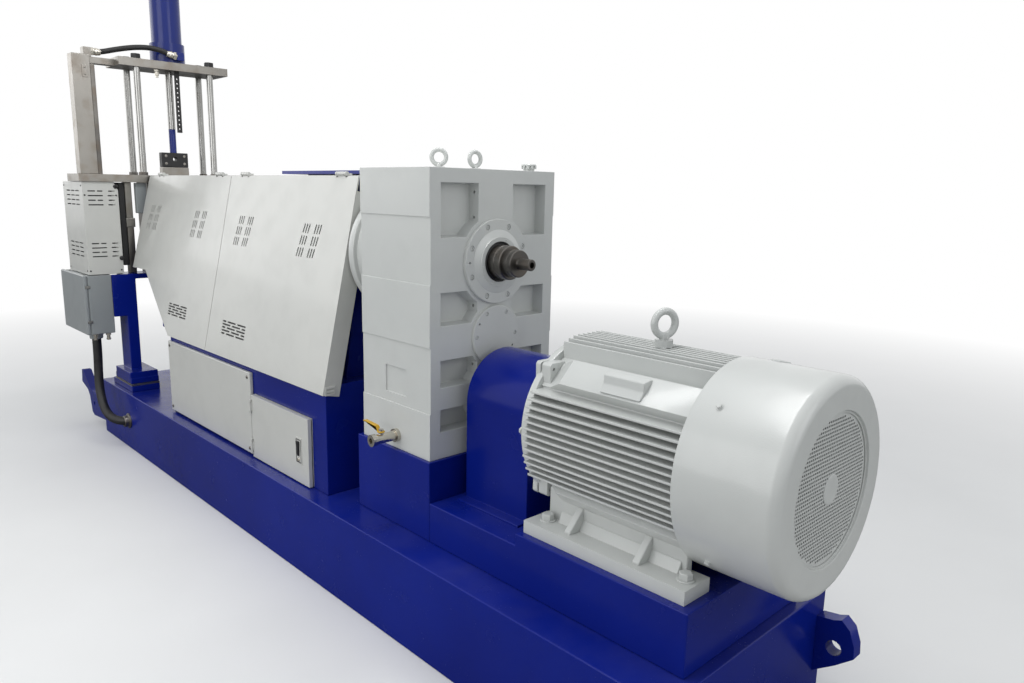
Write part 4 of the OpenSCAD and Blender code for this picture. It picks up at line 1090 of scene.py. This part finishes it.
for node, uprights, rows in (
        ("guard_cover_left", LEFT_UP, LEFT_ROWS), ("guard_cover_right", RIGHT_UP, RIGHT_ROWS),
        ("guard_back_covers", LEFT_UP + RIGHT_UP, LEFT_ROWS + RIGHT_ROWS)):
    cover = soften(merged_copy(node, node + "_sheet"), 0.0022, 3, 40)
    cutter, shade_sheets = punch(uprights, rows), shade_behind_slots(uprights, rows)
    if node == "guard_back_covers":
        mirror(cutter)
        mirror(shade_sheets)
    settle(smooth(cut(cover, cutter), 30), body_of[node], slot_of[node], node)
    # The black sheets behind the slots are painted shade.
    settle(smooth(shade_sheets), body_of[node], "handle_black")
    print(node, "faces:", len(cover.data.polygons))

# %% [markdown]
# ### Hook, panel screws and door
# A small slotted strap on the right cover's last fold holds it down. The side panels sit
# on four button screws each, near their corners. The cabinet's door is a folded plate
# with a lip all round, so its face stands clear of the frame, and its handle is a black
# swing handle in a dished plate with a lock at the foot.

# %% Cover hook
QUARTER_TURN = Matrix.Rotation(math.pi / 2, 4, "Z")
for side, body in ((-1, "cover_right"), (1, "machine")):
    low, high = sorted((side * 0.322, side * 0.368))
    strap = billet("cover_hook", (0.4450, low, 0.765), (0.4490, high, 0.801))
    soften(strap, 0.0015)
    slits = [shift((0.447, side * 0.345, z)) @ QUARTER_TURN for z in (0.776, 0.790)]
    cut(strap, copies("slits", slot_cutter(0.034, 0.0062, 0.04, "x"), slits))
    settle(smooth(strap), body, "white_sheet")

# %% Screws of the side panels
places = [at((x, side * 0.3760, z), (0, side, 0)) for side in (-1, 1)
          for x in (-1.160, -0.226) for z in (0.380, 0.718)]
fasten("panel_screws", dome_screw(0.0085, 0.0045), places, "dark_steel")

# %% Door, handle and lock
door = soften(merged_copy("cabinet_door", "door_plate"), 0.0025, 3, 40)
settle(door, "door", "white_sheet", "cabinet_door")
block("handle_rim", (0.219, -0.3815, 0.433), (0.269, -0.3785, 0.549), 0.0014, 2, "white_sheet",
      body="door")
dish = billet("handle_dish", (0.224, -0.3835, 0.440), (0.264, -0.3800, 0.542))
open_mesh()
pick_side(dish, "y", -1)
bpy.ops.mesh.inset(thickness=0.004)
bpy.ops.transform.translate(value=(0, 0.0022, 0))
shut_mesh()
grip = billet("grip", (0.234, -0.3905, 0.470), (0.254, -0.3822, 0.534))
open_mesh()
pick_side(grip, "z", -1)
bpy.ops.transform.resize(value=(0.75, 0.45, 1), center_override=(0.244, -0.3822, 0.470))
shut_mesh()
handle = soften(joined("door_swing_handle", [dish, grip]), 0.0016, 2)
settle(handle, "door", "handle_black", "door_handle")
lathe("door_lock", (0.244, -0.3835, 0.453), "y",
      [(0.002, 0), (0.002, 0.0085), (-0.0015, 0.0085), (-0.0025, 0.0075), (-0.0025, 0.0030),
       (-0.0012, 0.0030), (-0.0012, 0)], "valve_metal", sides=28, body="door")
print("door done")

# %% [markdown]
# ## Screen changer's head
# The head is closed by a slide between two thick plates on tie rods. The slide's lower
# end is in the melt, its upper end carries a black clevis, and a blue rod joins that to
# the cylinder's own. A guide column stands at the operator's end of the lower plate. Its
# face is ground, and a strip of dark steel stands behind it.

# %% Slide with its screen holes, clevis and rod
MID_X = -1.940
plate = billet("slide_plate", (MID_X - 0.025, -0.080, 1.180), (MID_X + 0.025, 0.080, 1.672))
holes = [peg("screen", (MID_X - 0.05, 0, z), "x", 0.042, 0.1, 48) for z in (1.324, 1.574)]
cut(plate, joined("screens", holes))
settle(soften(plate, 0.002), "slide", "bright_steel", "screen_slide")
clevis = billet("slide_clevis", (MID_X - 0.024, -0.079, 1.673), (MID_X + 0.024, 0.079, 1.760))
cut(clevis, peg("pin_hole", (MID_X - 0.05, 0, 1.722), "x", 0.012, 0.1, 24))
settle(soften(clevis, 0.004, 3), "slide", "handle_black", "screen_slide")
places = [at((MID_X + 0.024, y, z), AXES["x"]) for y in (-0.055, 0.055) for z in (1.695, 1.740)]
fasten("clevis_screws", socket_screw(0.008, 0.0035), places, "bright_steel", "slide")
lathe("slide_rod", (MID_X, 0, 0), "z",
      [(1.758, 0), (1.758, 0.020), (1.775, 0.020), (1.779, 0.0195), (1.783, 0.020), (1.8975, 0.020),
       (1.900, 0.0185), (1.900, 0)], "cylinder_blue", "screen_slide", sides=40, body="slide")

# %% Column, strip and bracket
column = soften(billet("column", (-1.915, -0.558, 1.620), (-1.835, -0.466, 2.270)), 0.003, 3)
channel = billet("channel", (-1.920, -0.546, 1.60), (-1.848, -0.478, 2.30))
settle(smooth(cut(column, channel)), "machine", "bright_steel", "guide_column")
block("column_strip", (-1.905, -0.465, 1.620), (-1.842, -0.441, 2.222), 0.003, 2, "dark_steel",
      "guide_column")
bracket = billet("column_bracket", (-1.836, -0.511, 2.146), (-1.8315, -0.480, 2.213))
soften(bracket, 0.0015)
screws = copies("screws", dome_screw(0.005, 0.003),
                [at((-1.8316, -0.4955, z), AXES["x"]) for z in (2.160, 2.199)])
settle(smooth(joined("column_bracket", [bracket, screws])), "machine", "bright_steel")

# %% Nuts, rail and fittings
rods = [(MID_X + x, y) for x in (-0.085, 0.085) for y in (-0.214, 0.214)]
fasten("tie_rod_nuts", hex_bolt(0.050, 0.024, 0.030, 0.004),
       [at((x, y, 2.280), AXES["z"], x) for x, y in rods], "handle_black", edge=0.001)
fasten("lower_nuts", hex_bolt(0.044, 0.016, 0.026, 0.003),
       [at((x, y, 1.620), AXES["z"], y) for x, y in rods], "dark_steel", edge=0.001)

rail = billet("perforated_rail", (-1.885, 0.010, 1.880), (-1.873, 0.038, 2.235))
soften(rail, 0.0012)
drill = peg("drill", (-1.90, 0.024, 1.902), "x", 0.0055, 0.05, 16)
cut(rail, copies("drills", drill, [shift((0, 0, 0.0265 * i)) for i in range(12)]))
settle(smooth(rail), "machine", "handle_black", "switch_rail")

for name, slot, (x0, x1), (near, far), (low, high) in (
        ("hanger_clamps", "bright_steel", (-1.945, -1.878), (0.272, 0.325), (1.314, 1.368)),
        ("head_side_plates", "box_grey", (-1.880, -1.850), (0.206, 0.268), (1.397, 1.574))):
    twins = [billet(name, (x0, min(y), low), (x1, max(y), high))
             for y in ((-near, -far), (near, far))]
    settle(soften(joined(name, twins), 0.004, 3), "machine", slot)
block("insulation_mat", (-1.960, -0.360, 1.090), (-1.862, -0.326, 1.574), 0.006, 3, "handle_black")
lathe("plate_fitting", (-1.862, -0.098, 2.235), "z",
      [(0.001, 0), (0.001, 0.019), (-0.012, 0.019), (-0.014, 0.013), (-0.034, 0.013),
       (-0.036, 0.009), (-0.047, 0.009), (-0.047, 0)], "valve_metal", sides=6)
print("head's moving parts and nuts done")

# %% [markdown]
# ### Heater cover and junction box
# The vented cover is a thin shell: a block is hollowed and its slots are punched. A black
# block inside it is painted shade, for the dark that shows behind the slots. The junction
# box has a lid that is clipped on with four catches, and a seam runs round it.

# %% Heater cover
COVER_LOW, COVER_HIGH = (-2.215, -0.560, 1.045), (-1.835, -0.369, 1.577)  # opposite corners
shell = billet("cover_shell", COVER_LOW, COVER_HIGH)
corner = folded("corner", [(-0.394, 1.580), (-0.366, 1.580), (-0.366, 1.524)], "x", -1.90, -1.80)
cut(shell, corner)
soften(shell, 0.003, 3)
hollow = billet("hollow", [a + 0.004 for a in COVER_LOW], (COVER_HIGH[0] - 0.004, -0.400, 1.570))
cut(shell, hollow)


def cover_slot(length, place):
    slot = slot_cutter(length, 0.0068, 0.020, "x")
    slot.data.transform(place)
    return slot


slots = []
short, long_row = ((0, 0.041), (0.050, 0.080), (0.109, 0.143)), ((0, 0.081), (0.105, 0.143))
for number, z in enumerate((1.524, 1.498, 1.472, 1.446, 1.225, 1.200, 1.175, 1.150)):
    for start, end in (long_row if number % 2 else short):
        place = shift((COVER_HIGH[0], -0.533 + (start + end) / 2, z)) @ QUARTER_TURN
        slots.append(cover_slot(end - start, place))
    for start in (-2.150, -2.062, -1.974):
        slots.append(cover_slot(0.074, shift((start + 0.037, COVER_LOW[1], z))))
cut(shell, joined("cover_slots", slots))
settle(smooth(shell, 30), "machine", "white_sheet", "heater_cover")
# A black block inside the shell: painted shade behind the slots.
block("cover_shade_block", (-2.200, -0.548, 1.060), (-1.850, -0.402, 1.560), 0.003, 2, "handle_black")
places = [at((x, COVER_LOW[1], z), (0, -1, 0)) for x in (-2.195, -1.856) for z in (1.553, 1.068)]
places += [at((COVER_HIGH[0], y, z), AXES["x"]) for y in (-0.549, -0.382) for z in (1.500, 1.068)]
fasten("cover_screws", dome_screw(0.005, 0.0028), places, "handle_black")
plug = turned("cover_plug", ORIGIN, "z", [(0, 0), (0, 0.013), (0.004, 0.013), (0.006, 0.009),
                                          (0.016, 0.009), (0.018, 0.007), (0.018, 0)], 20)
places = [at((-1.8365, -0.3765, 1.1366), AXES["x"]), at((-1.840, -0.384, 1.550), (1, 0.5, 0.4))]
fasten("cover_plugs", plug, places, "handle_black")

# %% Junction box with its lid, catches and gland
body = soften(billet("box_body", (-2.285, -0.571, 0.695), (-1.838, -0.441, 1.042)), 0.006, 3)
lid = soften(billet("box_lid", (-2.290, -0.595, 0.695), (-1.835, -0.574, 1.045)), 0.007, 3)
neck = billet("box_neck", (-2.279, -0.578, 0.702), (-1.844, -0.565, 1.036))
settle(joined("junction_box_body", [body, lid, neck]), "machine", "box_grey", "junction_box")
clasp = billet("clasp", (-0.008, -0.014, 0), (0.008, 0.014, 0.004))
places = [at((-1.8375, -0.574, z), AXES["x"], math.pi / 2) for z in (0.770, 0.975)]
places += [at((x, -0.574, 1.0425)) for x in (-2.210, -1.915)]
fasten("box_catches", clasp, places, "rod_chrome", edge=0.0012)
lathe("cable_gland", (-1.960, -0.515, 0), "z",
      [(0.652, 0.026), (0.652, 0.034), (0.658, 0.037), (0.672, 0.037), (0.673, 0.0395),
       (0.689, 0.0395), (0.690, 0.036), (0.697, 0.036), (0.697, 0.026)],
      "box_grey", "junction_box", sides=36, closed=True)
nipple = turned("nipple", ORIGIN, "z",
                [(0.001, 0), (0.001, 0.015), (-0.012, 0.015), (-0.013, 0.010), (-0.030, 0.010),
                 (-0.031, 0.0125), (-0.040, 0.0125), (-0.042, 0.008), (-0.042, 0)], 6)
places = [shift((x, y, 0.695))
          for x, y in ((-1.862, -0.475), (-1.885, -0.540), (-2.120, -0.520))]
fasten("box_nipples", nipple, places, "valve_metal")
print("cover and box done")

# %% [markdown]
# ### Ends of the two lines
# The hose ends in crimped sleeves behind hexagon nuts, and the conduit enters the base
# through a round collar. These pieces belong to the lines, so they are named with them.

# %% Sleeves, nuts, the collar and the lines put on the machine
SLEEVE = [(0, 0.0155), (0, 0.0205), (0.003, 0.0212), (0.006, 0.0195), (0.012, 0.0195),
          (0.014, 0.0212), (0.020, 0.0212), (0.022, 0.0195), (0.030, 0.0195), (0.033, 0.0178),
          (0.038, 0.0178), (0.040, 0.0160), (0.040, 0.0152)]


def hose_end(name, point, direction):
    """A hexagon nut and a crimped sleeve, from the hose's end inwards."""
    nut = turned("nut", ORIGIN, "z", [(-0.002, 0.010), (-0.002, 0.0215), (0, 0.0235), (0.016, 0.0235),
                                      (0.018, 0.0215), (0.018, 0.010)], 6, closed=True)
    sleeve = turned("sleeve", (0, 0, 0.016), "z", SLEEVE, 32, closed=True)
    sleeve = smooth(joined(name, [nut, sleeve]), 35)
    sleeve.data.transform(at(point, direction))
    return settle(sleeve, "machine", "valve_metal")


first_end = hose_end("hose_end_bridge", HOSE[0], Vector(HOSE[1]) - Vector(HOSE[0]))
last_end = hose_end("hose_end_cylinder", HOSE[-1], Vector(HOSE[-2]) - Vector(HOSE[-1]))
collar = lathe("conduit_collar", CONDUIT[-1], "y",
               [(0.000, 0.0255), (0.000, 0.045), (-0.006, 0.045), (-0.009, 0.040), (-0.012, 0.034),
                (-0.030, 0.033), (-0.033, 0.030), (-0.033, 0.0255)], "dark_steel", sides=48,
               closed=True)

for line, node in ((conduit, "cable_conduit"), (hose, "hydraulic_hose")):
    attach(line, "machine")
    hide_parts(node)
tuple(CONDUIT[0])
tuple(HOSE[0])

# %% [markdown]
# ### Foot ribs and terminal box
# Each motor foot has two cast ribs that slope from the web to the foot's edge, and a thin
# rail along the web's root. Their cut is drawn as (y, z) and pulled along x. The terminal
# box, on the side away from the operator, gets a lid with four screws and two glands.

# %% Ribs, rails and the terminal box
RIB = [(0.190, 0.568), (0.190, 0.638), (0.200, 0.638), (0.257, 0.578), (0.257, 0.568)]
RAIL = [(0.188, 0.568), (0.188, 0.602), (0.198, 0.602), (0.216, 0.568)]
for side, label in ((-1, "front"), (1, "rear")):
    ribs = [folded("rib", [(side * y, z) for y, z in RIB], "x", x, x + 0.0232)
            for x in (1.6274, 1.8814)]
    rail = folded("rail", [(side * y, z) for y, z in RAIL], "x", 1.562, 2.003)
    near, far = sorted((side * 0.1712, side * 0.1968))
    web = billet("web", (1.5090, near, 0.565), (2.0190, far, 0.668))
    settle(soften(joined("foot_ribs_" + label, ribs + [rail, web]), 0.004, 3), "machine", "grey_enamel")

lid = soften(billet("terminal_lid", (1.553, 0.410, 0.727), (1.807, 0.424, 0.961)), 0.006, 3)
screws = copies("screws", socket_screw(0.008, 0.005),
                [at((x, 0.4238, z), AXES["y"]) for x in (1.572, 1.788) for z in (0.746, 0.942)])
settle(smooth(joined("terminal_lid", [lid, screws])), "machine", "grey_enamel")
gland = turned("terminal_gland", ORIGIN, "z",
               [(0.002, 0), (0.002, 0.026), (-0.014, 0.026), (-0.015, 0.022), (-0.034, 0.021),
                (-0.038, 0.016), (-0.038, 0)], 24)
places = [shift((x, 0.350, 0.734)) for x in (1.630, 1.730)]
fasten("terminal_glands", gland, places, "handle_black")

# %% Finishes of the frame's own nodes
for name, thing in frame["nodes"].items():
    for slot in thing.material_slots:
        slot.material = finishes[slot_of[name]]
print("all nodes have a finish:", len(frame["nodes"]))

# %% [markdown]
# ## Floor and light
# The portrait stands on a plain pale floor under soft studio light. One wide lamp hangs
# over the operator's side, smaller ones fill the left and the motor's end, and a long
# strip overhead draws the streaks that round glossy paint shows. The world is white for
# the camera and for reflections, and dimmer as a source of light.

# %% Floor
FLOOR_SIZE, FADE_START, FADE_END = 60, 3.2, 8.0
bpy.ops.mesh.primitive_plane_add(size=FLOOR_SIZE, location=ORIGIN)
floor = bpy.context.object
floor.name = "studio_floor"
ground = Finish("studio_floor_paint", Roughness=0.7, Specular_IOR_Level=0.2)
seen = ground.node("ShaderNodeLightPath", out="Is Camera Ray")
pale = ground.mix(ground.noise(1.5, 4), (0.74, 0.74, 0.73), (0.80, 0.80, 0.79))
bounced = ground.node("ShaderNodeLightPath", out="Is Diffuse Ray")
unseen = ground.mix(bounced, (0.16, 0.16, 0.16), (0.55, 0.55, 0.54))
ground.feed("Base Color", ground.mix(seen, unseen, pale))
away = ground.node("ShaderNodeVectorMath", {"operation": "LENGTH"}, out="Value", n0=ground.here)
white = ground.node("ShaderNodeEmission", out="Emission", Color=(1, 1, 1), Strength=1.0)
fade = ground.ramp(away, FADE_START, FADE_END) * seen
painted = Wire(ground.tree, ground.shader.outputs[0])
floor_mix = ground.node("ShaderNodeMixShader", out="Shader", n0=fade, n1=painted, n2=white)
surface = next(n for n in ground.tree.nodes if n.type == "OUTPUT_MATERIAL").inputs["Surface"]
ground.tree.links.new(floor_mix.socket, surface)
floor.data.materials.append(ground.material)


# %% Lamps and world
def softbox(name, place, aim, size, power, length=None):
    """A square or oblong lamp, turned to look at a point; its power is in watts."""
    bpy.ops.object.light_add(type="AREA", location=place)
    lamp = bpy.context.object
    lamp.name = name
    lamp.rotation_euler = (Vector(aim) - Vector(place)).to_track_quat("-Z", "Y").to_euler()
    lamp.data.energy = power
    lamp.data.shape = "RECTANGLE"
    lamp.data.size = size
    lamp.data.size_y = length or size
    return lamp


softbox("over_front", (0.4, -4.5, 2.5), (0.0, 0.0, 0.9), 3.2, 58)
softbox("left_fill", (-5.5, -2.5, 3.0), (-1.0, 0.0, 1.0), 3.0, 40)
softbox("end_fill", (6.0, 1.0, 3.0), (1.5, 0.0, 0.8), 2.5, 37)
softbox("top_strip", (0.8, -0.4, 4.5), (0.8, 0.0, 0.8), 0.5, 80, 4.0)

world = bpy.data.worlds.new("studio")
bpy.context.scene.world = world
world.use_nodes = True
tree = world.node_tree
tree.nodes.clear()
path = tree.nodes.new("ShaderNodeLightPath")
seen = Wire(tree, path.outputs["Is Camera Ray"]) + Wire(tree, path.outputs["Is Glossy Ray"])
seen = seen + Wire(tree, path.outputs["Is Transmission Ray"])
clamped, blend, result = (tree.nodes.new("ShaderNode" + kind)
                          for kind in ("Clamp", "MixShader", "OutputWorld"))
tree.links.new(seen.socket, clamped.inputs[0])
tree.links.new(clamped.outputs[0], blend.inputs[0])
for number, (colour, strength) in enumerate((((0.93, 0.96, 1.0, 1), 0.62), ((1, 1, 1, 1), 1.0))):
    background = tree.nodes.new("ShaderNodeBackground")
    background.inputs["Color"].default_value = colour
    background.inputs["Strength"].default_value = strength
    tree.links.new(background.outputs[0], blend.inputs[number + 1])
tree.links.new(blend.outputs[0], result.inputs[0])
bpy.context.scene.view_settings.view_transform = "Standard"
print("stage set")
